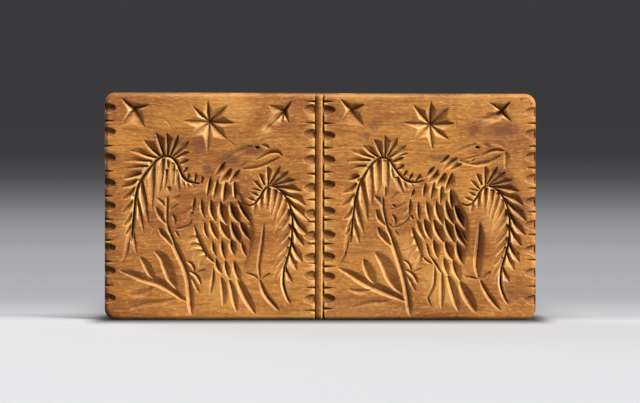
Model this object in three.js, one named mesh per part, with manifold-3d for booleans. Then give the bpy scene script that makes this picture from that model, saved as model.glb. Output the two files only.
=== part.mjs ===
// A traditional cookie mould: one plank of wood with two square panels side by side, and the same
// picture carved into each. A bead between two grooves parts the panels. The dough is pressed into
// the carving, so every line of the picture is a cut into the plank, with nothing standing above
// its face. Sizes are in millimetres. The plank stands on its long edge with the carving towards -Y.
import * as THREE from "three";
import { mergeVertices } from "three/addons/utils/BufferGeometryUtils.js";
import Module from "manifold-3d";

// The plank
const BOARD_LENGTH = 216;
const BOARD_HEIGHT = 114;
const BOARD_THICKNESS = 22;
const TOP_FALL = 0.8; // the plank is this much lower at its right end than at its left
const CORNER_RADIUS = 5.5;
const EDGE_ROUND = 2.5;
const EDGE_STEPS = 3;
const CORNER_STEPS = 4;
const CORNER_PULL = 0.5523; // the share of its radius that bends a cubic into a quarter circle

// The bead between the panels, with a groove on each side
const BEAD_CENTRE = -0.4; // the bead stands a little left of the middle
const BEAD_WIDTH = 4.4; // from the bottom of one groove to the bottom of the other
const BEAD_FLANK = 1.3;
const GROOVE_OUTER_WALL = 0.8;
const GROOVE_DEPTH = 1.6;
const GROOVE_TOP_MARGIN = 1.6; // the grooves fade out this far below the top edge
const GROOVE_FADE = 3;

// The row of cuts down both sides of each panel: a gouge scallop, then a knife notch
const SCALLOP_LENGTH = 5.8;
const SCALLOP_WIDTH = 5;
const SCALLOP_DEPTH = 1.6;
const SCALLOP_SIDES = 6;
const SCALLOP_STEPS = 3;
const NOTCH_LENGTH = 5.6;
const NOTCH_WIDTH = 1.7;
const NOTCH_DEPTH = 1.3;
const ROW_PITCH = 11.8;
const ROW_FIRST = 10.6; // height of the lowest scallop
const ROW_TOP_MARGIN = 7.5;
const ROW_WANDER = 0.6; // the row is cut by eye, so each cut strays by up to this much
const WANDER_TURN = 2.3; // how far the stray swings from one cut to the next, in radians

// The knife cuts of the picture
const DEPTH_TO_WIDTH = 0.5;
const DEEPEST_CUT = 1.4;
const CUT_SWELL = 0.6; // below 1, a cut fills out soon after its tip
const STAR_DEPTH = 2.2;
const EYE_LENGTH = 2.8;
const EYE_HEIGHT = 1.8;
const EYE_DEPTH = 2;
const EYE_FLOOR = 0.6; // the eye's flat floor, as a share of its mouth
const EYE_SIDES = 10;
const SHORT_CUT = 4.5; // a straight cut shorter than this has one deepest point
const STATION_STEP = 5.5; // spacing of the sections along a curved cut
const TOOL_CLEARANCE = 4; // how far each cutting form reaches above the face
const SAME_POINT = 1e-4;
const UPPER_SIDE = new THREE.Vector2(0.8, 0.6); // the side that a cut's upper wall lies on

// The picture is drawn on a panel of this size, and is fitted to the panels that the plank gives
const DRAWN_WIDTH = 107.9;
const DRAWN_MIDDLE = 53.6; // where the middle of the panel falls in the drawing
const DRAWN_HEIGHT = 114;

const PANEL_WIDTH = BOARD_LENGTH / 2;
const FIT_ALONG = PANEL_WIDTH / DRAWN_WIDTH;
const FIT_UP = BOARD_HEIGHT / DRAWN_HEIGHT;
const FIT_WALL = Math.min(FIT_ALONG, FIT_UP);

// Each line below is one cut: the widths of its lower and its upper wall, then the points of its
// keel, where the two walls meet, from tip to root. The lower wall is on the side of the lower
// left corner of the panel, and the upper wall on the side of the upper right corner.
const HEAD = [
  [1.5, 0.8, [65, 83], [70, 85], [75, 87.5], [80, 88.8], [84.5, 87.5], [89, 87]],
  [0.8, 0.5, [79.5, 82], [82, 83.2], [85, 84.4], [88, 85], [91.3, 84.3]],
  [0.9, 1.6, [74, 78.2], [77, 78.2], [81, 79], [85, 79.9], [89.7, 82.2]],
  [0.6, 0.6, [91.3, 84.3], [92, 80], [92, 76]],
];
const NECK = [
  [0.5, 0.8, [63.7, 81.9], [60, 78.7]],
  [0.6, 0.9, [67.3, 80.3], [62, 76.3]],
  [0.5, 0.9, [70.4, 78], [66, 75.8]],
  [0.5, 0.8, [56, 76], [52.8, 72]],
  [0.5, 1.1, [58, 74.4], [54.8, 69]],
  [0.6, 1.5, [61.7, 72.7], [57.6, 66.8]],
  [0.5, 1.3, [65, 72.4], [62.6, 64]],
];
const BODY = [
  [0.4, 0.9, [46.5, 64.6], [45.2, 62.3]],
  [1.4, 0.9, [51.9, 66.8], [51, 61.7]],
  [0.7, 1.5, [56.3, 67.2], [55.6, 60.6]],
  [0.8, 1.6, [60.3, 65.6], [60.2, 58.6]],
  [0.7, 2.0, [64.6, 64], [65.6, 55.6]],
  [0.5, 1.1, [44.2, 58.9], [43.8, 52.8]],
  [0.8, 0.8, [48.8, 58], [48.6, 51.3]],
  [0.8, 1.4, [52.9, 57.6], [54.4, 50.4]],
  [1.2, 2.4, [57.2, 57], [60.3, 48.6]],
  [0.8, 2.2, [62.7, 57.6], [65.8, 48.8]],
  [0.8, 1.8, [67.3, 57.2], [71.8, 46.8]],
  [0.9, 1.9, [45.6, 45.6], [47.3, 41], [50.4, 32]],
  [1.0, 1.5, [47.5, 50], [50, 42]],
  [1.4, 1.5, [52, 48.9], [55, 40.8]],
  [1.3, 2.2, [56.9, 48.4], [61.9, 39.8]],
  [1.0, 2.2, [62.3, 49], [66.3, 39.5]],
  [0.8, 2.0, [67.6, 46.8], [72.4, 37.6]],
  [0.4, 0.5, [52.6, 37.2], [54.5, 31.8]],
  [0.9, 1.4, [56.7, 38.6], [58.4, 31.6]],
  [0.9, 2.3, [62.6, 37.8], [65.9, 30.6]],
  [0.8, 1.8, [68.2, 37], [71, 29.6]],
  [0.8, 1.3, [61.9, 29.4], [63.4, 23.3]],
  [0.9, 1.8, [66.3, 28.8], [69.2, 20.6]],
  [0.5, 0.5, [55.6, 30.3], [57.2, 28], [59.8, 24]],
];
const TAIL = [
  [1.2, 0.9, [56.6, 28.6], [56.8, 22], [55.9, 16], [53.8, 12.2], [54.5, 6.5]],
  [1.3, 1.0, [59.6, 23.8], [60.2, 18], [60.5, 12], [60.3, 5]],
  [1.4, 2.1, [63.7, 21.6], [65.6, 15.5], [67.2, 9], [68.7, 4.2]],
  [1.5, 2.8, [69.3, 19], [71.3, 13.5], [74, 8.8], [77.4, 4]],
];
const LEFT_WING_EDGE = [
  [0.6, 0.6, [52, 69.8], [47, 68.6], [43, 69.6], [40.5, 70.9], [38, 74], [35.5, 78], [34, 80.3],
    [32, 81.3], [29.5, 80.7], [27, 79.7], [23.5, 76], [20, 70], [18.7, 66.5], [16.4, 58], [16, 53],
    [15, 43], [14, 36]],
];
const LEFT_WING_BARBS = [
  [0.6, 1.2, [20.7, 87], [28.3, 81.5]],
  [0.5, 1.5, [26.3, 90.3], [30.5, 82]],
  [0.4, 2.0, [31.8, 92.2], [32.2, 81.5]],
  [0.9, 1.2, [38, 91], [36.5, 88], [33.6, 82]],
  [1.2, 1.2, [42.9, 87.2], [35.5, 81.7]],
  [1.2, 1.3, [42, 81.4], [35.5, 78.8]],
  [0.8, 0.8, [41.3, 77.7], [37, 76]],
  [0.8, 0.8, [43.1, 74.8], [39.8, 71.6]],
  [0.5, 0.6, [45.8, 73.4], [43.8, 70]],
  [0.5, 1.0, [50, 72.8], [46.8, 69.3]],
  [0.7, 1.6, [15, 84.6], [19, 82.6], [26, 81.3]],
  [0.7, 0.9, [12.5, 79.2], [24.5, 79.8]],
  [0.5, 0.6, [16, 77.5], [23, 77.3]],
  [0.6, 0.5, [13.5, 70], [18.7, 71.8]],
  [0.6, 0.6, [11, 63], [16, 66], [18.2, 69]],
  [0.6, 0.6, [10.5, 57], [14, 60], [17, 62.7]],
  [0.7, 0.5, [11.3, 50.8], [14, 52.7], [16, 57]],
  [0.6, 0.4, [13, 45.8], [15, 49], [15.9, 51.5]],
  [0.8, 0.4, [12.3, 42.5], [14.6, 47.3]],
  [1.6, 0.5, [12, 33], [13, 38], [14.5, 43]],
];
const LEFT_WING_FEATHERS = [
  [2.2, 0.9, [20.2, 70], [21.7, 66], [22.2, 60], [22.6, 55], [23.2, 50]],
  [1.8, 1.0, [16.8, 60], [17.8, 56], [19.2, 51], [20.8, 46], [21.3, 43.5]],
  [1.2, 0.9, [16.2, 51], [16.8, 46.5], [18.2, 42], [19, 38]],
  [2.4, 0.9, [26, 76.5], [25.8, 70], [25.5, 62]],
  [1.8, 1.2, [29.7, 79.3], [29.3, 73], [29, 68]],
  [2.4, 0.7, [33.9, 79], [34, 73], [33, 68]],
  [2.6, 0.5, [38.3, 73.5], [38.4, 67], [39, 64]],
  [1.6, 0.5, [41.5, 70.5], [42.3, 68], [43.2, 65]],
];
const BRANCH = [
  [1.2, 1.2, [31, 61], [31.3, 56], [32.2, 52], [33.2, 46.5], [36.2, 38.5], [38.9, 30], [40.3, 25],
    [41.8, 20], [43, 15], [43.8, 10], [44.9, 2.5]],
  [0.5, 1.5, [32.2, 67.7], [32, 64], [31.8, 60.5]],
  [1.2, 1.6, [26.5, 62], [29, 60], [31.2, 56]],
  [1.4, 1.8, [27.4, 55.6], [29.3, 52], [32.8, 47.5]],
  [1.2, 1.9, [28.2, 46.2], [31, 42.5], [35, 38.4]],
  [0.4, 0.6, [38.4, 63.6], [34, 60]],
  [0.8, 0.9, [42.2, 59], [38.5, 56.2], [34, 54.7]],
  [0.6, 0.8, [35, 52.6], [37, 50.3], [36.3, 47.5], [34.5, 46.7]],
  [0.5, 0.6, [43.6, 50.5], [42, 48], [39, 46.3], [35, 46.5]],
  [1.3, 2.4, [21.4, 30.2], [22.4, 27], [24, 23.5], [27.6, 17.5]],
  [1.8, 3.4, [26.6, 34], [30.8, 29], [33, 24], [35, 20], [40.2, 13.4]],
  [1.6, 2.0, [10.3, 25.4], [16.5, 22], [20, 19.4], [25, 16.9], [30, 15.2], [35, 13.3], [42.3, 9.2]],
  [0.8, 1.6, [14.5, 15], [20.5, 14], [26, 15.3]],
  [1.0, 1.0, [15.5, 6.3], [19, 7.5], [24, 8.9], [30, 8.8], [37.5, 10.8]],
];
const LEFT_FOOT = [
  [0.8, 0.6, [41.3, 29.9], [43, 29.1], [44.4, 27.5], [45, 25.6], [44.7, 24.2]],
  [1.0, 0.6, [40.7, 25.2], [43, 24.7], [45.2, 23.5], [46.8, 22], [48.4, 18.6]],
  [0.7, 0.4, [46.2, 23], [50.2, 25.6]],
  [0.8, 0.7, [41.8, 23], [44.3, 20], [47.2, 14.5]],
];
const RIGHT_FOOT = [
  [1.6, 3.2, [78.6, 48], [78.6, 42], [78, 33], [77.8, 28], [78.2, 24], [79.2, 20.6]],
  [1.2, 1.3, [79.8, 19.8], [81.5, 16.3], [83.3, 13], [86, 9.2], [89.6, 5.2]],
  [0.5, 0.6, [84.9, 24.2], [79.3, 19.9]],
  [0.7, 0.4, [71.6, 21.9], [76.4, 20.6], [79, 20]],
];
const RIGHT_WING_EDGE = [
  [0.7, 0.7, [70.5, 58.4], [75, 57.8], [78.3, 61.8], [81, 66.2], [84, 66.8], [88, 65.4], [91.6, 60.8],
    [93.6, 54.5], [94.3, 50], [94.2, 42], [93.4, 37], [91, 28], [89.7, 20], [90.3, 16.5], [93.6, 8.6]],
];
const RIGHT_WING_BARBS = [
  [1.0, 0.4, [71.8, 61.2], [76.3, 59.8]],
  [0.6, 0.7, [73.6, 63.8], [77.8, 61.2]],
  [0.5, 0.8, [74.8, 69.5], [79, 65]],
  [0.8, 0.7, [77.8, 73.4], [80.3, 67.8]],
  [0.9, 0.8, [82.3, 76.6], [82, 67.8]],
  [1.0, 1.2, [88.2, 76.6], [83.5, 68]],
  [0.9, 1.4, [92.5, 74], [84.3, 68.3]],
  [1.0, 1.0, [96, 70], [84.5, 67.5]],
  [1.0, 1.2, [99.1, 64.3], [88, 66], [84, 67]],
  [0.9, 1.9, [101.4, 57], [96.5, 59.8], [90, 64]],
  [1.0, 2.0, [103.2, 48.9], [98, 53], [92, 61]],
  [1.2, 1.6, [102.5, 42.3], [98, 47.3], [94, 54]],
  [1.2, 1.6, [99.8, 37.6], [96.8, 42.5], [94.2, 47.5]],
  [1.4, 1.6, [99.4, 28.6], [97, 33.5], [94.3, 39]],
  [1.1, 1.1, [96.8, 24.2], [94.8, 29], [92.8, 34]],
  [1.2, 0.8, [94.6, 18.9], [92.5, 23], [90.8, 26.8]],
];
const RIGHT_WING_FEATHERS = [
  [0.6, 0.8, [76.2, 59], [75.4, 54.5]],
  [1.8, 0.7, [78.8, 61.8], [78.6, 56]],
  [1.5, 0.5, [83.4, 65], [82.7, 56.3]],
  [1.6, 0.7, [87, 64.2], [86, 59.5], [84.3, 53.5]],
  [0.8, 1.0, [88.7, 64.5], [87.7, 59.5], [86, 54.5], [84.8, 50.5]],
  [1.3, 0.6, [91.3, 57.5], [88.5, 52.3], [85.9, 46]],
  [2.2, 1.6, [93.7, 54.5], [90.5, 48.5], [85.4, 43.2]],
  [1.2, 1.0, [93.8, 46], [90, 41.7], [86.8, 38]],
  [1.0, 0.8, [93.6, 41], [84.5, 34.8]],
  [1.4, 0.8, [92.8, 37.2], [88.5, 32], [84, 26.7]],
  [0.8, 0.6, [90.6, 27.5], [85, 21]],
];

// Each star is its outline, clockwise from a tip, and its deepest point
const EIGHT_POINT_STAR = {
  middle: [54.7, 98],
  outline: [[54.9, 109.8], [58, 104], [64, 106.3], [63, 100.3], [67.2, 98], [61, 95], [64.3, 89.8],
    [57.4, 92], [55.8, 84.5], [53, 91.7], [46.3, 89.8], [48.4, 95.5], [40.3, 98.7], [49, 100.6],
    [45.5, 108], [52.4, 104.6]],
};
const LEFT_STAR = {
  middle: [15.2, 105.3],
  outline: [[9.4, 110.7], [15, 108.3], [22, 108], [19.3, 104.5], [21.6, 96.8], [15, 97.6], [9.5, 98.5],
    [12.5, 105]],
};
const RIGHT_STAR = {
  middle: [90.7, 104.7],
  outline: [[83.7, 108.9], [91.3, 108], [95.4, 109.7], [93.8, 105.3], [95.5, 98.7], [91.2, 100],
    [80.8, 97.5], [84.3, 104.5]],
};
const EYE_MIDDLE = [78.3, 86.3];

// The picture was carved twice by eye. The carver's left panel strays from the right one by a few
// millimetres, group by group: the shift of each group there, along and up.
const GROUPS = [
  { cuts: HEAD, shift: [-3.8, -1.8] },
  { cuts: NECK, shift: [-0.3, -5] },
  { cuts: BODY, shift: [0.9, 0] },
  { cuts: TAIL, shift: [-0.4, 0.4] },
  { cuts: LEFT_WING_EDGE, shift: [-1.4, 0] },
  { cuts: LEFT_WING_BARBS, shift: [-1.4, -0.6] },
  { cuts: LEFT_WING_FEATHERS, shift: [-1.2, 0] },
  { cuts: BRANCH, shift: [-0.4, 0] },
  { cuts: LEFT_FOOT, shift: [-0.3, 0] },
  { cuts: RIGHT_FOOT, shift: [-0.4, 0] },
  { cuts: RIGHT_WING_EDGE, shift: [-0.9, 0] },
  { cuts: RIGHT_WING_BARBS, shift: [-0.9, 0] },
  { cuts: RIGHT_WING_FEATHERS, shift: [-0.9, 0] },
];
const STARS = [
  { star: EIGHT_POINT_STAR, shift: [-2.7, 1.4] },
  { star: LEFT_STAR, shift: [-0.9, -0.3] },
  { star: RIGHT_STAR, shift: [-1, 0] },
];
const EYE_SHIFT = [-3.8, -1.8];
const NO_SHIFT = [0, 0];

const wasm = await Module();
wasm.setup();

// A closed geometry as a solid for joining and cutting: points in one place become one point, and
// the triangles that this flattens are left out.
function solidOf(geometry) {
  const bare = new THREE.BufferGeometry();
  bare.setAttribute("position", geometry.getAttribute("position"));
  bare.setIndex(geometry.getIndex());
  const merged = mergeVertices(bare, SAME_POINT);
  const corners = merged.getIndex().array;
  const kept = [];
  for (let i = 0; i < corners.length; i += 3) {
    const [a, b, c] = corners.subarray(i, i + 3);
    if (a !== b && b !== c && c !== a) kept.push(a, b, c);
  }
  const vertProperties = merged.getAttribute("position").array;
  return new wasm.Manifold(
    new wasm.Mesh({ numProp: 3, vertProperties, triVerts: new Uint32Array(kept) }),
  );
}

// A solid whose skin runs through rings of points. Each ring has the same number of points and runs
// anticlockwise for someone who looks along the way from the first ring to the last.
function solidThrough(rings) {
  const count = rings[0].length;
  const last = (rings.length - 1) * count;
  const corners = [];
  for (let start = 0; start < last; start += count) {
    for (let j = 0; j < count; j += 1) {
      const here = start + j;
      const next = start + ((j + 1) % count);
      corners.push(here, here + count, next + count, here, next + count, next);
    }
  }
  for (let j = 1; j < count - 1; j += 1) {
    corners.push(0, j, j + 1);
    corners.push(last, last + j + 1, last + j);
  }
  const geometry = new THREE.BufferGeometry().setFromPoints(rings.flat());
  geometry.setIndex(corners);
  return solidOf(geometry);
}

// The section of a cut with a V of two walls, at one station of its keel.
function veeRing(keel, heading, leftWall, rightWall, depth) {
  const left = new THREE.Vector2(-heading.y, heading.x);
  const leftRim = keel.clone().addScaledVector(left, leftWall);
  const rightRim = keel.clone().addScaledVector(left, -rightWall);
  return [
    new THREE.Vector3(keel.x, keel.y, -depth),
    new THREE.Vector3(rightRim.x, rightRim.y, 0),
    new THREE.Vector3(rightRim.x, rightRim.y, TOOL_CLEARANCE),
    new THREE.Vector3(leftRim.x, leftRim.y, TOOL_CLEARANCE),
    new THREE.Vector3(leftRim.x, leftRim.y, 0),
  ];
}

// How full a knife cut is at a share of its length: nothing at its two ends, and full between.
function fullness(share) {
  return Math.pow(Math.max(0, Math.sin(Math.PI * share)), CUT_SWELL);
}

// One knife cut that swells between its two ends, along a keel drawn through points.
function knifeCut(points, lowerWall, upperWall) {
  const keel = points.length > 2 ? new THREE.SplineCurve(points) : new THREE.LineCurve(...points);
  const length = keel.getLength();
  const straightSteps = length < SHORT_CUT ? 2 : 3;
  const curvedSteps = Math.max(3, Math.round(length / STATION_STEP));
  const steps = points.length > 2 ? curvedSteps : straightSteps;
  const chord = points[points.length - 1].clone().sub(points[0]);
  const upperOnLeft = new THREE.Vector2(-chord.y, chord.x).dot(UPPER_SIDE) >= 0;
  const leftWall = upperOnLeft ? upperWall : lowerWall;
  const rightWall = upperOnLeft ? lowerWall : upperWall;
  const depth = Math.min(DEPTH_TO_WIDTH * (lowerWall + upperWall), DEEPEST_CUT);
  const rings = [];
  for (let i = 0; i <= steps; i += 1) {
    const share = i / steps;
    const full = i % steps === 0 ? 0 : fullness(share);
    const place = keel.getPointAt(share);
    const heading = keel.getTangentAt(share);
    rings.push(veeRing(place, heading, leftWall * full, rightWall * full, depth * full));
  }
  return solidThrough(rings);
}

// A pit with sloping sides from an outline, clockwise on the face, down to one point. Each tip of
// the outline gets a valley and each inner corner gets a ridge.
function pit(outline, middle, depth) {
  const deepest = outline.map(() => new THREE.Vector3(middle.x, middle.y, -depth));
  const rim = outline.map((point) => new THREE.Vector3(point.x, point.y, 0));
  const above = outline.map((point) => new THREE.Vector3(point.x, point.y, TOOL_CLEARANCE));
  const top = outline.map(() => new THREE.Vector3(middle.x, middle.y, TOOL_CLEARANCE));
  return solidThrough([deepest, rim, above, top]);
}

// The eye: an oval cup with a flat floor.
function eyeCup(middle) {
  const oval = (share, height) => {
    const ring = [];
    for (let i = 0; i < EYE_SIDES; i += 1) {
      const turn = (-2 * Math.PI * i) / EYE_SIDES;
      const x = middle.x + 0.5 * EYE_LENGTH * FIT_WALL * share * Math.cos(turn);
      const y = middle.y + 0.5 * EYE_HEIGHT * FIT_WALL * share * Math.sin(turn);
      ring.push(new THREE.Vector3(x, y, height));
    }
    return ring;
  };
  return solidThrough([oval(EYE_FLOOR, -EYE_DEPTH), oval(1, 0), oval(1, TOOL_CLEARANCE)]);
}

// One gouge scallop: a half-round trough, deepest at the edge, that rises to the face in a round
// end. It starts at x and runs inwards, which is +1 towards +X or -1 towards -X.
function scallop(x, y, inwards, overrun) {
  const rings = [];
  for (let i = -1; i <= SCALLOP_STEPS; i += 1) {
    const share = Math.max(0, i / SCALLOP_STEPS);
    const along = i < 0 ? -overrun : SCALLOP_LENGTH * Math.sin((share * Math.PI) / 2);
    const full = i === SCALLOP_STEPS ? 0 : Math.cos((share * Math.PI) / 2);
    const ring = [];
    for (let j = 0; j <= SCALLOP_SIDES; j += 1) {
      const turn = (Math.PI * j) / SCALLOP_SIDES;
      const across = -0.5 * SCALLOP_WIDTH * full * Math.cos(turn);
      const deep = j % SCALLOP_SIDES === 0 ? 0 : SCALLOP_DEPTH * full * Math.sin(turn);
      ring.push(new THREE.Vector3(x + inwards * along, y - inwards * across, -deep));
    }
    const [first] = ring;
    const end = ring[SCALLOP_SIDES];
    ring.push(new THREE.Vector3(end.x, end.y, TOOL_CLEARANCE));
    ring.push(new THREE.Vector3(first.x, first.y, TOOL_CLEARANCE));
    rings.push(ring);
  }
  return solidThrough(rings);
}

// One knife notch of the same row: a V that is widest and deepest at the edge and ends in a point.
function edgeNotch(x, y, inwards, overrun) {
  const heading = new THREE.Vector2(inwards, 0);
  const wall = 0.5 * NOTCH_WIDTH;
  const outside = new THREE.Vector2(x - inwards * overrun, y);
  const tip = new THREE.Vector2(x + inwards * NOTCH_LENGTH, y);
  return solidThrough([
    veeRing(outside, heading, wall, wall, NOTCH_DEPTH),
    veeRing(new THREE.Vector2(x, y), heading, wall, wall, NOTCH_DEPTH),
    veeRing(tip, heading, 0, 0, 0),
  ]);
}

// The whole row down one side of a panel, as many cuts as the height takes. Row counts the rows
// from the left, so that no two rows stray alike.
function sideRow(row, x, inwards, overrun) {
  const cuts = [];
  const highest = BOARD_HEIGHT - ROW_TOP_MARGIN;
  for (let k = 0; ROW_FIRST + k * ROW_PITCH <= highest; k += 1) {
    const stray = ROW_WANDER * Math.sin(WANDER_TURN * (k + row));
    const height = ROW_FIRST + k * ROW_PITCH + stray;
    cuts.push(scallop(x, height, inwards, overrun));
    if (height + ROW_PITCH / 2 < highest) {
      cuts.push(edgeNotch(x, height + ROW_PITCH / 2, inwards, overrun));
    }
  }
  return cuts;
}

// One groove beside the bead, down the whole height and out through the bottom edge. The bead's
// own flank is its wide wall. Side is -1 for the left groove and 1 for the right one.
function beadGroove(side) {
  const x = BEAD_CENTRE + (side * BEAD_WIDTH) / 2;
  const down = new THREE.Vector2(0, -1);
  const top = BOARD_HEIGHT - GROOVE_TOP_MARGIN;
  const walls = side < 0 ? [BEAD_FLANK, GROOVE_OUTER_WALL] : [GROOVE_OUTER_WALL, BEAD_FLANK];
  return solidThrough([
    veeRing(new THREE.Vector2(x, top), down, 0, 0, 0),
    veeRing(new THREE.Vector2(x, top - GROOVE_FADE), down, ...walls, GROOVE_DEPTH),
    veeRing(new THREE.Vector2(x, -TOOL_CLEARANCE), down, ...walls, GROOVE_DEPTH),
  ]);
}

// All the cuts of the picture in one panel, whose middle is at x.
function picture(x, strays) {
  const place = ([along, up], shift) => new THREE.Vector2(
    x + (along - DRAWN_MIDDLE + (strays ? shift[0] : 0)) * FIT_ALONG,
    (up + (strays ? shift[1] : 0)) * FIT_UP,
  );
  const cuts = [];
  for (const { cuts: group, shift } of GROUPS) {
    for (const [lowerWall, upperWall, ...points] of group) {
      const keel = points.map((point) => place(point, shift));
      cuts.push(knifeCut(keel, lowerWall * FIT_WALL, upperWall * FIT_WALL));
    }
  }
  for (const { star, shift } of STARS) {
    const outline = star.outline.map((point) => place(point, shift));
    cuts.push(pit(outline, place(star.middle, shift), STAR_DEPTH));
  }
  cuts.push(eyeCup(place(EYE_MIDDLE, EYE_SHIFT)));
  return cuts;
}

// The plank before it is carved: four rounded corners, a top edge that falls slightly to the right,
// and rounded edges on the face and on the back. Its face lies at height 0.
function plank() {
  const half = BOARD_LENGTH / 2;
  const corners = [
    new THREE.Vector2(-half, 0),
    new THREE.Vector2(half, 0),
    new THREE.Vector2(half, BOARD_HEIGHT - TOP_FALL),
    new THREE.Vector2(-half, BOARD_HEIGHT),
  ];
  const outline = new THREE.Shape();
  corners.forEach((corner, i) => {
    const towards = (other) => other.clone().sub(corner).setLength(CORNER_RADIUS).add(corner);
    const before = towards(corners.at(i - 1));
    const after = towards(corners[(i + 1) % corners.length]);
    if (i === 0) outline.moveTo(before.x, before.y);
    else outline.lineTo(before.x, before.y);
    const leave = before.clone().lerp(corner, CORNER_PULL);
    const arrive = after.clone().lerp(corner, CORNER_PULL);
    outline.bezierCurveTo(leave.x, leave.y, arrive.x, arrive.y, after.x, after.y);
  });
  outline.closePath();
  const geometry = new THREE.ExtrudeGeometry(outline, {
    depth: BOARD_THICKNESS - 2 * EDGE_ROUND,
    curveSegments: CORNER_STEPS,
    bevelEnabled: true,
    bevelThickness: EDGE_ROUND,
    bevelSize: EDGE_ROUND,
    bevelOffset: -EDGE_ROUND,
    bevelSegments: EDGE_STEPS,
  });
  geometry.translate(0, 0, EDGE_ROUND - BOARD_THICKNESS);
  return solidOf(geometry);
}

// The carved board
function carvedBoard() {
  const half = BOARD_LENGTH / 2;
  const leftGroove = BEAD_CENTRE - BEAD_WIDTH / 2;
  const rightGroove = BEAD_CENTRE + BEAD_WIDTH / 2;
  const cuts = [
    beadGroove(-1),
    beadGroove(1),
    ...sideRow(0, -half, 1, TOOL_CLEARANCE),
    ...sideRow(1, leftGroove, -1, 0),
    ...sideRow(2, rightGroove, 1, 0),
    ...sideRow(3, half, -1, TOOL_CLEARANCE),
    ...picture(-PANEL_WIDTH / 2, true),
    ...picture(PANEL_WIDTH / 2, false),
  ];
  return cuts.reduce((board, cut) => board.subtract(cut), plank());
}

// A solid back as a geometry with flat faces.
function geometryOf(solid) {
  const { vertProperties, triVerts } = solid.getMesh();
  const geometry = new THREE.BufferGeometry();
  geometry.setAttribute("position", new THREE.BufferAttribute(vertProperties, 3));
  geometry.setIndex(new THREE.BufferAttribute(triVerts, 1));
  return geometry.toNonIndexed();
}

const wood = new THREE.MeshStandardMaterial({ color: 0xac7745, roughness: 0.55, metalness: 0 });
wood.flatShading = true;

const board = new THREE.Mesh(geometryOf(carvedBoard()), wood);
board.name = "mould_board";
board.rotation.x = Math.PI / 2;
board.position.y = -BOARD_THICKNESS / 2;

const mould = new THREE.Group();
mould.add(board);
export default mould;
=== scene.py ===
# %% [markdown]
# # A carved cookie mould
# The object is one plank of old hardwood that stands on its long edge. Its face holds the same
# picture twice: a bird with spread wings, a branch, and stars, cut with a knife and a gouge. Dough
# is pressed into the cuts, so the picture is a hollow one. This lesson models the carving as a
# landscape: one number of depth for each place on the face, worked out cut by cut.

# %% Load the frame
import math

import bpy
import numpy as np
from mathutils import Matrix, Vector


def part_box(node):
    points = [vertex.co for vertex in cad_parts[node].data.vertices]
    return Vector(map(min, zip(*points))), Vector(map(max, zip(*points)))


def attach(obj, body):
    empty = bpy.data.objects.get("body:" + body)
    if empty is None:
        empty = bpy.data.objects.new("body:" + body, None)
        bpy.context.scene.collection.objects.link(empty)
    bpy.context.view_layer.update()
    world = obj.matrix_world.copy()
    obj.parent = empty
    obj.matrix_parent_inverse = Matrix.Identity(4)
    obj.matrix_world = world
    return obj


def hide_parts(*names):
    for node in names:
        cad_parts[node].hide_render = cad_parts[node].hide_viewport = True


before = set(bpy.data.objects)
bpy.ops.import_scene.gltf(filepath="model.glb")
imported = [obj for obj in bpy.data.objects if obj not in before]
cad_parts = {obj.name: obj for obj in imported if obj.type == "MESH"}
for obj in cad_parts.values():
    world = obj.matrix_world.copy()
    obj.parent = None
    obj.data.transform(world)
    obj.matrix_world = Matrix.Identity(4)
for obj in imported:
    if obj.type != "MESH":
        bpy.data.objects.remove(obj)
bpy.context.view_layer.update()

low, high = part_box("mould_board")
MM = 0.001
LENGTH = (high.x - low.x) / MM
HEIGHT = (high.z - low.z) / MM
THICKNESS = (high.y - low.y) / MM
HALF = LENGTH / 2
print("board", round(LENGTH, 2), round(HEIGHT, 2), round(THICKNESS, 2), "mm")

# %% [markdown]
# ## A path for the knife
# Every line of the picture is one stroke. The stroke's deepest line is its keel, and it is drawn
# through a few given points. A Catmull-Rom curve passes through all of them, which is why
# it is used here and not a Bezier curve, whose handles lie off the line.

# %% Keel paths
STEP = 0.5  # spacing of the points along a keel, in millimetres
BETWEEN = 12  # places on the curve between two chosen points, before they are spaced evenly
FEWEST_STEPS = 4


def keel_path(points):
    """Points every half millimetre on the curve through the chosen points. Between two of them each
    coordinate is the cubic whose slope at either end is half the step between that point's
    neighbours, and the result is spaced evenly by its length."""
    path = np.asarray(points, float)
    if len(path) > 2:
        first = 2 * path[0] - path[1]
        last = 2 * path[-1] - path[-2]
        p = np.vstack([first, path, last])
        t = np.linspace(0, 1, BETWEEN, endpoint=False)[None, :, None]
        a, b, c, d = (p[i : len(p) - 3 + i, None, :] for i in range(4))
        cubic = 2 * b + (c - a) * t + (2 * a - 5 * b + 4 * c - d) * t**2
        cubic = 0.5 * (cubic + (3 * b - a - 3 * c + d) * t**3)
        path = np.vstack([cubic.reshape(-1, 2), path[-1]])
    run = np.r_[0, np.cumsum(np.hypot(*np.diff(path, axis=0).T))]
    at = np.linspace(0, run[-1], max(FEWEST_STEPS, int(run[-1] / STEP)) + 1)
    return np.column_stack([np.interp(at, run, path[:, i]) for i in (0, 1)])


print("a quarter turn in", len(keel_path([(0, 0), (4, 1), (5, 5)])), "points")

# %% [markdown]
# ## One knife cut
# A knife cut has two walls that meet in a V. The wall on the lower left side of the keel and the
# one on the upper right side have widths of their own, because the carver leans the blade. How full
# the cut is along its length gives its kind: a leaf is pointed at both ends, a petal swells just
# behind its tip and narrows to its root, a flute starts from nothing and is deepest at its root,
# a chip is a leaf with sharper ends, and a line stays full.
# A cut is written as a function that says how far below the face its wall lies at a place: above
# zero inside the cut, and below zero outside, on the same slope.

# %% Kinds of cut
PETAL_WIDEST = 0.34  # how far from its tip a petal is widest, as a share of its length
PETAL_LOSS = 0.65  # the share of its width that a petal has lost at its root
FLUTE_WIDE = 0.45  # how far from its tip a flute has its whole width
LINE_POINTS = 9  # each pointed end of a line is a ninth of its length


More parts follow.
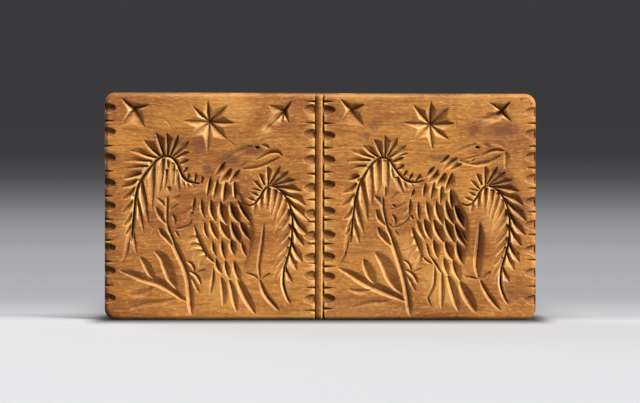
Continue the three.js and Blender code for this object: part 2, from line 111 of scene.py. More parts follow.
def leaf(s):
    """Pointed at both ends, as wide as it is deep: the sine of half a turn, to the power 0.5."""
    full = np.sqrt(np.maximum(np.sin(np.pi * s), 0))
    return full, full


def chip(s):
    """A lozenge, sharper than a leaf: the sine of half a turn, to the power 0.8."""
    full = np.maximum(np.sin(np.pi * s), 0) ** 0.8
    return full, full


def petal(s):
    """Widest a third of the way in from the tip and narrowing evenly to 0.35 at the root, while the
    depth rises from nothing at the tip to full at the root: s to the power 0.6."""
    narrowed = 1 - PETAL_LOSS * np.maximum(s - PETAL_WIDEST, 0) / (1 - PETAL_WIDEST)
    return np.minimum(s / PETAL_WIDEST, 1) ** 0.9 * narrowed, s**0.6


def flute(s):
    """Soon as wide as it gets, while the depth rises all the way from the tip to the root: s to the
    power 0.75."""
    return np.minimum(s / FLUTE_WIDE, 1) ** 0.7, s**0.75


def line(s):
    """Full all along, with short points at both ends."""
    full = np.minimum(1, np.minimum(s, 1 - s) * LINE_POINTS) ** 0.6
    return full, full


for kind in (leaf, chip, petal, flute, line):
    print("a", kind.__name__, "is", round(float(kind(np.array(0.5))[0]), 2), "wide halfway")

# %% Knife cuts
UPPER = np.array([0.8, 0.6])  # a cut's upper wall lies on this side of its keel
TURNING = 2.5  # how soon one wall's width turns into the other's where a keel bends
KEEL_ROUND = 0.05  # how blunt the bottom of a V is
ROUNDED = {flute: 1.9}  # how far a kind's walls curve: 1 is a straight V and 2 a round trough
THINNEST = 0.03  # a cut's least width and depth, as shares of its full ones
END_SLOPE = 3.0  # how steep the wall behind a cut's root is
MARGIN = 0.6  # how far outside its own outline a cut is worked out


def reach(points, margin):
    """The box round some points, widened by a margin."""
    low_corner = np.min(points, axis=0) - margin
    high_corner = np.max(points, axis=0) + margin
    return low_corner[0], high_corner[0], low_corner[1], high_corner[1]


def knife_cut(points, lower, upper, depth, kind):
    """A V along a keel, as the box that it reaches and its wall. At a place whose nearest keel point
    is at share s of the length, and which lies r to one side, the wall is deep(s) * depth *
    (1 - (r / (wide(s) * width)) ** bend), and it rises at a slope of its own behind the root. The
    width turns from the lower wall's to the upper wall's as the side turns to the upper right."""
    path = keel_path(points)
    wide, deep = (np.maximum(share, THINNEST) for share in kind(np.linspace(0, 1, len(path))))
    start, step = path[:-1], np.diff(path, axis=0)
    size = np.hypot(*step.T)
    end, last_step = path[-1], step[-1] / size[-1]
    bend = ROUNDED.get(kind, 1.0)

    def wall(x, y):
        dx = x[:, None] - start[:, 0]
        dy = y[:, None] - start[:, 1]
        t = np.clip((dx * step[:, 0] + dy * step[:, 1]) / size**2, 0, 1)
        far = np.hypot(dx - t * step[:, 0], dy - t * step[:, 1])
        near = np.argmin(far, axis=1)
        row = np.arange(len(x))
        t, far = t[row, near], far[row, near]
        ahead = step[near] / size[near, None]
        turn = np.sign(ahead[:, 0] * dy[row, near] - ahead[:, 1] * dx[row, near])
        towards = turn * (ahead[:, 0] * UPPER[1] - ahead[:, 1] * UPPER[0])
        share = 0.5 + 0.5 * np.clip(TURNING * towards, -1, 1)
        width = wide[near] * (1 - t) + wide[near + 1] * t
        width *= lower + (upper - lower) * share
        off = np.hypot(far, KEEL_ROUND) - KEEL_ROUND
        past = np.maximum((x - end[0]) * last_step[0] + (y - end[1]) * last_step[1], 0)
        past = np.where(near == len(step) - 1, past, 0)
        full = (deep[near] * (1 - t) + deep[near + 1] * t) * depth
        return full * (1 - (off / width) ** bend) - END_SLOPE * past

    return reach(path, max(lower, upper) + MARGIN), wall


print("behind its root a cut rises", END_SLOPE, "mm per mm")

# %% [markdown]
# ## Where the two pictures lie
# The drawing is measured in millimetres from each panel's left side and from the board's bottom. The
# left panel has the same picture, carved again by eye, so it has tables of its own where the two
# differ, and elsewhere the right panel's with a small stray. A row of a table is one cut: its lower
# wall, its upper wall, its depth, and then the places x,y of its keel from the tip to the root. A
# backslash carries a long row on.

# %% Panels
RIGHT_PANEL = 0.375  # board x of the drawing's left side, in each panel
LEFT_PANEL = -109.375
cuts = []


def on_board(text, panel, shift=(0, 0)):
    """Drawn places, each written as x,y, moved to a panel and by its stray. Board x counts from the
    board's middle."""
    drawn = np.array([[float(number) for number in place.split(",")] for place in text.split()])
    return drawn + np.array([panel + shift[0], shift[1]])


def carve(kind, panel, table, shift=(0, 0), into=cuts):
    """One panel's cuts of one kind, added to a list of cuts."""
    for row in table.strip().splitlines():
        lower, upper, depth, keel = row.split(maxsplit=3)
        points = on_board(keel, panel, shift)
        into.append(knife_cut(points, float(lower), float(upper), float(depth), kind))
    print(len(into), "cuts, the last of them", kind.__name__)


def carve_both(kind, right_table, left_table):
    """A group that differs between the panels, cut in both."""
    carve(kind, RIGHT_PANEL, right_table)
    carve(kind, LEFT_PANEL, left_table)


print("a star's tip lies at", on_board("54.9,109.8", RIGHT_PANEL)[0])

# %% [markdown]
# ## The bird's head
# Few strokes: the brow, the two halves of the beak, its hook and the corner of the mouth. They are
# leaves, since a knife that is led in and out gently leaves two points.

# %% Head
HEAD = """
2 0.7 0.6  65,82.8 70,85.2 75,87.2 78,88.4
0.8 2 0.45  79.5,88 82,87.5 84.6,86
0.9 1.7 0.4  84,87.5 87,88.2 90,87.5 92,85.8
1.5 1 1.5  79.5,82 82.5,83.5 85,84.6 88,85.1 91.8,84.5
1.8 1.3 1.7  73.4,78 77,78 80,78.4 83,79 86,80.2 90,82.4
0.4 0.7 0.8  73.8,78 75.5,79.5 77.3,81
1.2 0.3 0.5  69.5,78.6 74,81 79,82.3
1 2.4 0.95  92,84.4 92.4,82 92.4,79 92.2,75.6
1.2 1.7 0.8  68.4,79.6 71.6,78.8 75,77.9
"""
HEAD_LEFT = """
1.6 1.9 0.91  61,79.6 65.5,83 70,85.2 76,87.2
1.2 1.5 1.7  76.6,79.8 80,81.8 83,83.4 86,84 88.7,83.7 90.4,81.8
1.3 1.5 1.7  70,75.6 74,75.8 78,76.6 82,78 86,79.8 89,81.6
1.1 0.33 0.65  67.5,74.8 70,77 73,79
1.2 1.1 0.78  79.5,87.5 82,87 84,85.8
"""
carve_both(leaf, HEAD, HEAD_LEFT)

# %% [markdown]
# ## The neck
# Short chips, close together and wide on their upper side, lead from the head into the body. They
# are cut and not painted on, because each throws a shadow of its own.

# %% Neck
NECK = """
0.92 2 1.9  64.3,82.6 61.5,80 58.7,77.9
1.1 2.5 2  68.5,81 64.5,78.6 60.6,74.9
1.1 2.5 2  71.2,78.4 67.5,76.7 64.1,74.9
0.92 2.1 2  56.9,76.7 54.2,74 51.9,71.1
1.1 2.9 2.2  58.5,75.3 56.3,71.7 53.2,68.6
1.1 4.2 2.8  62.4,73.8 59.8,70 57.2,66
1.1 3.6 2.7  65.6,73.7 63.7,69 61.9,63.5
"""
NECK_LEFT = """
1.2 2.6 2.3  61.8,79.2 59.2,75.6 56.4,71.8
1.2 3.6 2.5  65,76 61.8,71.9 59,68.4
1.2 2.7 2.2  69.2,75.6 66,71.6 63.6,68
0.9 2.6 2.4  54.4,71.6 52.6,61.4
0.9 2.8 2.4  58,70.4 55.8,60.2
1.1 3.9 3  62,69.6 60.8,58.2
0.9 2.4 2.2  66.2,70 66.8,59.6
"""
carve_both(chip, NECK, NECK_LEFT)

# %% [markdown]
# ## The bird's body
# The feathers of the body are chips in slanting rows, each ending where the next row begins. Their
# upper walls are wide and steep, and what is left standing between them is a net of thin ridges.

# %% Body
BODY = """
0.9 1.5 1.4  46.7,65.7 44.7,60.8
1 2.1 1.9  52.1,68.4 51.1,60.8
1.1 2.4 2.2  56.7,69.3 54.8,59.7
1.1 2.4 2.3  60.4,68.5 59.7,57.5
1.3 2.8 2.4  64.7,66 65.7,54
1 1.7 1.6  44.6,60.8 43.9,51.2
1.1 1.5 1.8  48.5,59.3 49,49.5
1.3 2.4 2.3  52.7,59.4 54.6,48.9
1.6 3.4 2.8  57.4,59.6 58.6,53 61.3,47.2
1.6 3.8 3.1  62.4,59.9 63.8,53 66.8,47.2
1.6 3.4 3.2  66.5,58.2 68.8,52.5 71.9,45.8
1.7 2.4 2.2  45.3,46.6 47,41.5 48.8,36.5 50.9,31.2
1.7 1.9 1.3  47.6,50.6 49.5,45 52.3,39.4
1.3 2.8 2.6  51.5,50.8 52.8,45 55.2,39.6
1.6 3.4 3.1  56.1,50.4 58.4,44 61.9,37.9
1.6 3.4 3.1  61.7,51 63.9,44.5 67.1,38
1.6 3.1 3.1  66.8,48.8 69,42.5 72.9,36.5
0.9 1.5 1.6  69.9,45.8 73.5,38.7
1.3 2.4 2.3  56.1,40.5 57.1,35 58.6,30.4
1.6 3.3 2.7  62,40 63.5,34 66.6,29.1
1.6 2.9 2.6  67.8,39.3 69.1,33 71.4,27.3
1 0.95 0.97  52.4,39 54.6,30.7
1.7 2.1 1.9  61.4,31.3 62.3,26 63.8,21.9
1.7 2.9 2.4  65.9,30.8 67.1,25 69.8,18.9
0.9 0.69 0.86  50.3,32.1 53.3,29.3 56.2,27.8
1.1 0.86 1.3  54.4,32.4 57.4,28 60.5,22.7
0.7 0.69 0.86  44.2,53.2 46.3,49.9
"""
BODY_LEFT = """
0.9 1.5 1.6  46.6,61.7 45.2,52.8
1 1.7 1.9  49.9,60.9 50.3,55 51.6,50.7
1.3 2.5 2.4  54.6,60.3 55,54 57.2,48.9
1.6 3.8 3.1  59.5,59.6 60,53 62.8,47.2
1.6 3.4 3.1  64.3,59 65.8,53 69.4,48.1
1.1 2.1 2.2  67.8,59.8 71,54 74.9,48.5
1.7 1.7 1.9  46.2,47.7 48,42 50.3,36.5 53,32 57.9,27.4
0.9 1.6 1.9  51.4,49.2 51.8,44.5 53.5,40.4
1.3 2.5 2.4  54.2,49.8 55.8,44.5 58.5,39.7
1.6 3.4 2.8  59.2,49.7 61,44.5 64.7,39.6
1.6 3.4 2.8  64.7,49.2 66.3,43.5 69.6,37.9
1.3 2.8 2.6  68.8,49.8 71.1,44.5 74.5,39.8
1 1.6 1.8  55.5,39.5 56,35 57.5,31.5
1.1 2.4 2.3  60,40.2 60.4,35 62,29.6
1.1 2.8 2.4  64.6,40.7 65,36 66.7,31.6
1 1.7 1.8  69.8,39.5 70.8,35.5 72.4,31.5
1.7 1.6 1.8  57.1,31 58.1,26.5 60.3,23
1.1 2.1 2.2  61.6,30.1 62.4,25 63.9,20.5
1.3 2.6 2.3  66,29.7 67.1,24 69.6,18.7
1.3 1.1 1.4  56.1,26.6 55.8,20 54.2,12.4
"""
carve_both(chip, BODY, BODY_LEFT)

# %% [markdown]
# ## The tail
# Three or four long feathers run down towards the board's foot: shallow leaves, which look flatter
# than the body's chips.

# %% Tail
TAIL = """
1.3 0.9 1.2  56.8,28.6 57,22 56.4,17 54.3,12.5 53.6,11 55,6.5
1.5 1.4 1.3  60.4,24.2 60.6,18 60.6,12 60.3,5.5
1.8 3 2  63.3,22.4 65.3,15.5 66.9,10 68.8,4
2 3.7 2.2  69.3,19.3 71.2,14.5 73.8,9.5 77.4,3.8
"""
TAIL_LEFT = """
1.1 2.5 1.6  59.6,21.5 60.3,17 60.8,12 60.8,6.8
1.5 2.3 1.7  63.8,20 65.2,15 66.2,10 67.6,3.8
1.8 3 2  67.3,22 69.4,16.5 71.9,11 76.8,3
"""
carve_both(leaf, TAIL, TAIL_LEFT)

# %% [markdown]
# ## The left wing
# The wing hangs from one long arched groove, its leading edge, which keeps its depth all the way.
# Outside it stand the petals of the fan and, lower down, the barbs.

# %% Left wing's leading edge
LEFT_WING_EDGE = """
0.6 1.6 3  52,69.9 48,68.7 44.5,68.9 41.8,70 39.8,71.8 37.8,74.3 36,77 34.3,79.6 32,81 29.3,80.6 \
26.8,79 24.3,76.5 22,73.2 20,69.8 18.6,66.3 17.3,61.5 16.6,57 16,52 15.4,47 14.6,38
"""
LEFT_WING_EDGE_LEFT = """
0.7 1.9 3.3  49.6,67.9 46,68.5 43.8,69 41.8,70 40.2,72 38.9,75 37.3,78.5 35.2,80.9 32.5,81.8 30,81.4 \
27.8,80.2 25.8,78.3 21.5,73 19.5,70 17.8,66.5 16.8,62 16.3,57 15.8,52 15.3,47 14.8,38
"""
carve_both(line, LEFT_WING_EDGE, LEFT_WING_EDGE_LEFT)

# %% Left wing's fan
LEFT_WING_FAN = """
1.1 1.9 2.1  12.5,79.2 18,79.8 24.5,79.8
0.9 1.7 1.8  14,75 18,76.5 22.5,77
1 2.2 2.1  15,84.5 20,83 26.5,81
1.1 2.9 2.5  20.7,87.3 24,84.5 28.5,81.3
0.9 3.5 2.7  26.2,90.5 28.3,86.5 30.6,81.8
0.6 3.9 2.8  31.7,92.5 31.9,87 31.9,81.5
2.3 1.8 2.7  38.3,91.2 36.3,87 33.2,81.8
2.3 1.9 2.5  42.8,87.4 38.5,84.2 34,81.3
0.9 0.95 1.3  43.7,83.3 39,82
1.8 2.2 2.9  41.6,81.4 38.3,80 35.2,78.8
1.4 1.9 2.5  41.7,78 39.5,76 37,75
0.8 1.4 2.1  43.2,75 40.8,71.6
0.8 1.1 2.1  45.8,73.5 43.6,69.4
0.8 1.7 2.1  50,73 47.1,69.2
"""
LEFT_WING_FAN_LEFT = """
1.4 2.4 2.5  13.6,84.8 18,84 22,82.6 27.5,81
1.1 2.2 2.1  11,79.4 17,79.8 25,79.3
0.9 1.9 2.1  12,75.7 18,76.5 23.5,76.8
1 3.4 3.2  21,89.8 24.5,86 29,81.8
0.9 3.6 3.4  27.1,93.6 28.9,88.5 31,82.3
0.6 3.9 3.4  32.4,93.6 32.8,88 32.7,82
2.3 1.8 3.2  38.4,92.6 36.8,88 34.2,82
2.3 1.9 2.9  43.8,89.6 40,85.5 35.2,81.6
2 1.8 2.6  44,84 40,82.8 36.5,81
1.5 1.5 2.5  43.9,80.2 40.5,78.8 37.5,77.5
0.8 1.5 2.1  43.2,76.6 40.6,73.6
0.8 1.5 2.1  43.6,73.4 42.8,69.8
0.8 1.5 2.1  47,73.6 46.6,69
0.8 1.5 1.8  50.4,72.2 49.9,68.6
"""
LEFT_WING_BARBS = """
1.2 2.6 2.2  13,69.8 16,70.8 19.5,72
1.2 2.6 2.2  10.5,63.5 14,65 18.7,68.8
1.2 2.6 2.2  10,56.8 14,60 17.3,63.5
1.2 2.6 2.2  11,50.3 14,53 16.5,58
1.2 2.6 2.2  12.8,45.3 14.5,48 16,52.5
1.2 2.6 2.2  12.1,42.3 13.5,44.5 14.8,48
"""
LEFT_WING_BARBS_LEFT = """
1 2.8 2.1  10.6,70.6 15,71.8 20.5,73.3
1 2.8 2.1  9.2,66.3 14,67.7 18.5,70.3
1 2.8 2.1  10,60.2 13.5,62.8 17.2,66.8
1 2.8 2.1  10,53.7 13.5,57 16.3,61
1 2.8 2.1  10.8,47.2 13.3,50 15.8,55
1 2.8 2.1  11.8,42.5 13.8,46 15.2,49.5
"""
carve_both(petal, LEFT_WING_FAN, LEFT_WING_FAN_LEFT)
carve_both(leaf, LEFT_WING_BARBS, LEFT_WING_BARBS_LEFT)

# %% [markdown]
# ## The left wing's flutes
# Inside the wing long troughs lie so close that they meet in rounded ridges. Each ends on the keel
# of a deeper cut, because a root that stopped short of it would leave a step of its own.

# %% Left wing's flutes
LEFT_WING_FLUTES = """
1.8 0.7 1.5  12,32 13.3,38 14.6,44
1.6 1.3 1.9  19.2,37.5 18.3,42 17,47 16.3,52
2.2 1.6 2.3  21.5,43 20.4,47 18.8,52 17.6,58 17.2,62
2.6 1.6 2.4  23.4,49 22.6,56 21.8,62 21,67 20,70.5
2.8 1.3 2.3  25.4,57 25.6,66 25.2,76.5
2.6 2.3 2.7  28.2,63 28.6,70 28.6,80
3.4 1 2.4  33.2,64 33.6,72 33.6,80
1.4 0.7 1.4  36.7,69.5 35.8,74 35.2,78
2.3 0.8 1.5  41.4,63 39.8,67.5 38.5,71.5
1.4 0.7 1.4  42.8,65 42,69.3
0.7 0.7 1.1  46.4,66.4 45.2,68.6
0.8 0.5 0.9  7.4,25.4 11,30.5 12.6,34
"""
LEFT_WING_FLUTES_LEFT = """
1.8 0.7 1.5  10,27.5 12.5,33 13.5,38 14.7,44
1.4 0.8 1.4  17.6,32.5 16.6,39 15.8,45
2.4 0.7 2  21.2,43.4 20.6,48 19,57 17,62.8
2.8 0.8 2.2  23.6,47.6 22.9,53 22,61 20,70.4
3 0.9 2.2  25.2,55 25.8,63 26.2,70 26.4,78.6
2.4 0.7 1.8  28.6,62 29.8,68 30.8,74 31.2,80.6
1.6 0.6 1.4  31.4,65 32.4,70 33,75
1.8 0.8 1.4  35.4,66.5 36,72 36.4,78.5
1.8 0.8 1.4  38.8,63.5 38.5,69 38.2,75
1.4 0.7 1.1  41.5,65.5 40.8,70.5
1.1 0.7 1.1  43.6,66 42.9,69.2
0.7 0.8 1.1  46.5,66.2 45.1,68.6
"""
WING_NICK_LEFT = "0.6 1.3 1.2 33,80.2 33.2,75.6"
carve_both(flute, LEFT_WING_FLUTES, LEFT_WING_FLUTES_LEFT)
carve(leaf, LEFT_PANEL, WING_NICK_LEFT)

# %% [markdown]
# ## The branch
# A curved stem with buds and leaves. The big leaves at its foot are wide and shallow: one thin lit
# wall, and one broad wall that rises slowly.

# %% Branch
STEM = """
1.3 0.9 1.2  31,62 31.2,57 32,52 33.2,47 34.8,43 36.8,37.5
2 1.9 1.7  34.8,43 36.3,38.5 38.8,31 40.6,25 42,20 43.2,14 43.9,9 44.7,1.8
"""
STEM_LEFT = """
1.3 0.9 1.2  33.2,62 32.9,55 32.8,50 33.5,46 35.5,41 37.4,36
2 1.9 1.7  35.5,41 37,36.5 39.5,31 41.6,26.5 43,22 44,16 44.5,10 45,2.4
"""
LEAVES = """
0.7 1.8 1.2  32.2,67.7 32.2,64 31.7,60.8
1.4 1.3 1  26.5,62 29,60 31.3,56.3
1.1 2.4 1.4  27.6,55.3 28.3,51.8 30,49.3 33.3,46.6
1 2.9 1.6  28.1,46.6 29.4,43 31.5,40.5 33.5,38.5 36.4,36.4
0.6 0.9 0.6  38.8,64 34,59.8
0.6 1 1  35.4,57.8 37.5,56
1 1 0.7  42.5,59.2 38.5,56.5 34,55
0.8 1.1 1.1  35.3,53 37,50.5 37.2,48.5 36.2,46.6
0.4 0.7 0.8  33.4,48.4 35.4,46.6
1.1 0.9 1  44.7,54.6 43.8,51 41.5,48.5 38.5,46.8 34.8,46.3
0.4 0.6 0.7  36.9,44.9 38.8,42
1.3 4.2 1.7  21.1,30.6 21.8,27 23.2,23.3 25,20 27.6,17.3
1.6 5.5 2.2  26.8,34 29.8,29.5 31.8,25.5 33.4,21.5 36.3,17 40.4,13.2
1.8 1.4 1  13.6,15.3 20,14.3 26.5,15.7
1.8 1.3 0.7  15,6.4 20,7.6 25,8.9 31,9 38,10.9
"""
LEAVES_LEFT = """
0.6 2 1.1  32.8,67 34,63.5
1.1 2.2 1.4  27,56.5 28.7,52.5 31,49.5 33.2,47.6
1 2.6 1.6  28.4,46 30,43 32.5,40.5 36.2,36.3
1.1 1.1 0.8  27.5,61 30,59 32.5,56
0.6 0.9 0.6  39.5,62.5 35.5,60
0.7 0.9 0.7  38.8,58 36,56.3 33.8,54.6
0.7 1.3 1.1  35.2,53 36.6,50 36.6,47.3
1.1 0.9 1  45.4,50.6 43.5,47.5 40,46 36.3,45.5
0.6 0.7 0.8  36.8,44.8 38.7,41.3
1.1 3.2 1.4  19.2,31.6 21.5,27.5 23,24.5 24.5,22 27.4,19.4
1.3 4.6 1.9  26.2,34.4 29.5,31 31,27.5 32.3,24 34,20 37.6,15.2
2.4 2.2 1  13.4,12.6 18,13 22,14 25.6,16.3
2 1.7 0.8  14.6,6.2 19,7.2 24,8.6 30,9 37,10.7
"""
TWIG = """
1.9 3.2 1.9  8.6,26 14.5,22.8 20,19.3 25,16.7 30,14.7 35,12.4 38.5,11 42.8,9
"""
TWIG_LEFT = """
1.5 3.4 1.8  9,24.6 16,22 20,20.3 25,19 28,18 32,16 36,13.5 39.5,10.8 42.8,9.4
"""
carve_both(line, STEM, STEM_LEFT)
carve_both(leaf, LEAVES, LEAVES_LEFT)
carve_both(leaf, TWIG, TWIG_LEFT)

# %% [markdown]
# ## The left foot and the thigh
# The claws hold the branch. Beside them, short flutes are the tufts of the thigh, and they end on
# the first long chip of the body. The left panel's foot is the right panel's, moved.

# %% Left foot
LEFT_FOOT = """
0.9 0.9 1  40.8,29.9 43,29 44.3,27.5 44.9,25.5 44.4,24
1.3 1 1.2  41,24.9 43.5,24.5 45.5,23.3 47,21.5 48.4,18
0.8 0.6 0.7  45.3,23.6 50.6,26.1
1.1 1.3 0.7  42,23 44.5,19.5 47.4,13.8
"""
LEFT_FOOT_STRAY = (1.4, -0.5)
carve(leaf, RIGHT_PANEL, LEFT_FOOT)
carve(leaf, LEFT_PANEL, LEFT_FOOT, LEFT_FOOT_STRAY)

# %% Thigh
THIGH = """
1.6 1.2 1.8  41.4,35.4 44.6,39.2 47.1,41.6
1.7 1.2 2  42.6,31.4 45.8,35.3 48.5,37.6
1.9 1.4 1.3  44.2,27.6 47,31.4 49.6,34.2
1.6 1.2 0.9  46.8,24.6 48.6,28 50.2,32.4
1.4 1 1  38.4,52.2 41,53.6 44.2,56.4
1.4 1 0.9  39.4,49.4 42,50.8 44,53.6
"""
THIGH_LEFT = """
1.6 1.2 1.5  40.6,38.2 44,40.4 48.1,41.8
1.7 1.2 1.9  42.4,34.6 45.8,37.4 49.8,37.6
1.7 1.2 1.8  45.4,30.2 48,33.6 51.2,34.8
1.6 1.2 1.5  48.6,26.4 50,29.8 52.6,32.4
1.4 1 1  39,52.4 42,53.8 45.7,56.6
1.4 1 0.9  40,49.6 43,51 45.3,53.8
"""
carve_both(flute, THIGH, THIGH_LEFT)

# %% [markdown]
# ## The right foot
# A long lens over three claws. In the right panel a narrow cut runs down inside it, a dark line.

# %% Right foot
RIGHT_FOOT = """
2 3.6 2.2  79.3,48.6 79.2,44 78.9,38 78.2,32 77.9,27 78.3,23.5 79.1,20
0.5 0.8 2.9  79.3,47.6 79.2,44 78.9,38 78.2,32 77.9,27 78.3,23.5 79.1,20.5
1.9 1.3 1.6  79.3,20.6 82,15.7 84.5,11.7 87,8.2 89.8,4.8
0.6 1 0.9  85.1,24.5 79.3,20
0.8 0.7 0.7  71.4,21.9 76,21 79.3,20.2
"""
RIGHT_FOOT_LEFT = """
1.4 1.2 1.3  81.2,48.6 80.7,41 80,36 79.2,31 78.7,26 79.4,20
1.9 1.3 1.6  79,20.6 80.8,15.7 83,11.7 86,8 89,4.4
0.6 1 0.9  84.6,23.5 79.4,20.2
0.8 0.7 0.7  71.6,23.5 75.6,22.4 79,20.4
"""
carve_both(leaf, RIGHT_FOOT, RIGHT_FOOT_LEFT)

# %% [markdown]
# ## The right wing
# It is made as the left one is, but its fan turns the other way. The left panel's wing is the right
# panel's, one millimetre further to the right.

# %% Right wing
RIGHT_WING_EDGE = """
0.6 1.2 2.9  70,58.8 72.5,57.1 75,57.8 76.5,59.5 78,61.3 79,63.3 80.5,65.3 82.5,66.8 84.5,66.8 \
87,65.6 89,64 91,61.5 92.5,58.5 93.7,54.5 94.3,50 94.2,45 94,40 93.2,36 91.8,31 90.3,26 89.8,21 \
90,17 91.3,12.8 93.8,7.8
1 1.9 2.4  83,67.2 87,65.8 89.5,63.6 92,59.5
1.4 0.7 1.2  90.4,27 89.8,21 90,17 91.3,12.8 93.8,7.8
"""
RIGHT_WING_FAN = """
0.8 1.3 1.8  74.6,70 79.3,65.4
0.9 1.9 2.5  77.6,73.5 80.4,67.6
0.6 3.5 3.2  81.9,77.2 82.2,67.4
2.4 1.9 3.2  88.5,77 83.1,67.8
1.8 2.2 2.9  92.6,74.3 84,67.6
1.5 2.4 2.9  96.2,70.1 90,68.6 84,67.2
1.9 2.5 3.2  99.3,64.2 93,65.8 84.5,66.9
1.6 2.8 2.9  101.4,57 97,60.3 92,62.4 88.5,65
1.8 2.8 3  103.1,49 98.5,53.8 94.5,57.5 92,60.8
2.7 2.2 3  102.6,42.1 98.3,46.8 94.6,53.3
2.7 2 3  100.4,36.8 97.3,41.5 94.6,46.8
2.4 2.2 2.9  99.5,28.6 96.8,33 94,38.8
2.6 1.8 2.5  96.7,24.7 94.7,29.5 92.8,34.8
2.8 0.9 2.2  94.5,18.7 92.5,23 91,26.8
1.1 1 1.4  73.4,64 78.2,61.8
0.5 0.9 1  73,65.6 78.8,64.5
1.1 1 1.4  71.5,61.2 76.2,59.5
"""
RIGHT_WING_FLUTES = """
1.2 0.8 1.2  75,53.5 76.2,59
1.7 0.9 1.8  78.4,55 79.4,63
1.8 1.1 2.1  81.2,55 82.2,60 82.6,66
1.9 1.3 2.3  83.6,52 85,57.5 86.2,65
1.8 1.5 2.3  84.6,49.5 87,56.5 89,63.4
1.9 1.6 2.3  86,46.5 89,53 91.6,60
2.1 1.9 2.6  84.8,41.8 89,47.5 93.7,54.5
1.9 1.7 2.3  84.6,35.6 89,40.6 94,47
1.7 1.6 2.1  84,30.5 88.5,34.8 93.7,40.6
1.7 1.5 2  84.2,25 88.3,30 92.8,36
1.6 1.2 1.7  84.6,19.6 87.8,25 91.4,31
1 0.8 1  87,19 90.1,26
"""
RIGHT_WING_STRAY = (1, 0)
for panel, shift in ((RIGHT_PANEL, (0, 0)), (LEFT_PANEL, RIGHT_WING_STRAY)):
    carve(line, panel, RIGHT_WING_EDGE, shift)
    carve(petal, panel, RIGHT_WING_FAN, shift)
    carve(flute, panel, RIGHT_WING_FLUTES, shift)

# %% [markdown]
# ## Stars
# A star is cut from its tips towards a deep middle. Between two neighbouring corners of its outline
# the wall is flat, so the depth at a place is how far it is from the outline towards the middle.

# %% Stars
DEEP_STAR = 4.5
SHALLOW_STAR = 3.6


def star_pit(outline, middle, depth):
    """A pit with one flat wall behind each side of the outline. In the wedge from the middle to a
    side, the depth falls evenly from its most at the middle to nothing at the side."""
    nexts = np.roll(outline, -1, axis=0)
    turn = np.arctan2(*(outline - middle).T[::-1])
    span = (turn - np.roll(turn, -1)) % (2 * np.pi)
    edge = nexts - outline
    whole = edge[:, 0] * (middle[1] - outline[:, 1]) - edge[:, 1] * (middle[0] - outline[:, 0])

    def wall(x, y):
        angle = np.arctan2(y - middle[1], x - middle[0])
        past = (turn - angle[:, None]) % (2 * np.pi)
        side = np.argmax(past <= span, axis=1)
        dx, dy = x - outline[side, 0], y - outline[side, 1]
        return depth * (edge[side, 0] * dy - edge[side, 1] * dx) / whole[side]

    return reach(outline, MARGIN), wall


STARS = [  # panel, depth, middle, and the outline clockwise from a tip
    (RIGHT_PANEL, DEEP_STAR, "54.7,98",
     "54.9,109.8 58,104 64,106.3 63,100.3 67.2,98 61,95 64.3,89.8 57.4,92 "
     "55.8,84.5 53,91.7 46.3,89.8 48.4,95.5 40.3,98.7 49,100.6 45.5,108 52.4,104.6"),
    (LEFT_PANEL, DEEP_STAR, "53.8,99.4",
     "53,110 55.2,105 63.3,107.6 60.5,101.8 67,98.3 60.5,96.5 63,90 56,91.6 "
     "53,83.5 51,92.3 44.8,92 46.8,96.4 40.2,99.5 48.5,101.5 45,107.5 51.3,103.5"),
    (RIGHT_PANEL, SHALLOW_STAR, "15.2,105.3",
     "9.4,110.7 15,108.3 22,108 19.3,104.5 21.6,96.8 15,97.6 9.5,98.5 12.5,105"),
    (LEFT_PANEL, SHALLOW_STAR, "16.2,106",
     "9.2,111.5 16,108.5 24.6,107.7 20.3,105 21.8,96 15.5,98 9,96.3 13.5,104.5"),
    (RIGHT_PANEL, DEEP_STAR, "90.7,104.7",
     "83.7,109 91.3,108 95.2,109.6 92.8,105.2 95.5,98.7 "
     "91.2,101.2 86,98.2 80.2,96.8 81.5,100.5 88,105.3"),
    (LEFT_PANEL, SHALLOW_STAR, "91.6,104.7",
     "83.5,107.6 91,107.5 95.3,109.7 93.5,105 94,98 "
     "91.5,100.5 90.3,98 88,99.5 80,93 85,103.5"),
]
for panel, depth, middle, outline in STARS:
    cuts.append(star_pit(on_board(outline, panel), on_board(middle, panel)[0], depth))
print(len(STARS), "stars")

# %% [markdown]
# ## Scratches
# A few slips of the knife and later scratches: leaves again, a fifth of a millimetre deep at most.

# %% Scratches
SCRATCHES = """
0.5 0.2 0.2  42.3,97.2 40.6,95 39.4,92.5 38.8,88.5
0.5 0.2 0.15  66.5,93.5 67.8,97 67,101.5
0.4 0.2 0.15  12,90.5 11.8,86 9,82.5
0.4 0.2 0.15  58,16 57.6,10 58.4,6
"""
SCRATCHES_LEFT = """
0.5 0.2 0.2  63,90 65.4,88.2 67.5,86.5
0.4 0.2 0.15  72,92 75,94.5 79.5,95.5
0.4 0.2 0.15  30,101 33.5,98.5 36,94
"""
carve_both(leaf, SCRATCHES, SCRATCHES_LEFT)

# %% [markdown]
# ## Eyes
# Each bird's eye was punched, not cut. It is the steep side of a cone, cut off by a flat floor.

# %% Eyes
EYE = (1.4, 0.9, 1.9)  # half its length, half its height, and its depth
EYE_STEEPNESS = 1.6
EYES = ((RIGHT_PANEL, "78.3,86.3"), (LEFT_PANEL, "77.8,86.3"))
WIDE_MARGIN = 2.2  # how far round an eye's middle or a notch's line a cut is worked out


def eye_cup(middle):
    """An oval punched hole: depth * 1.6 * (1 - rho), cut off at its flat floor, where rho is 0 in
    the middle and 1 on the rim."""
    half_length, half_height, depth = EYE

    def wall(x, y):
        rho = np.hypot((x - middle[0]) / half_length, (y - middle[1]) / half_height)
        return np.minimum(depth * EYE_STEEPNESS * (1 - rho), depth)

    return reach(np.array([middle]), WIDE_MARGIN), wall


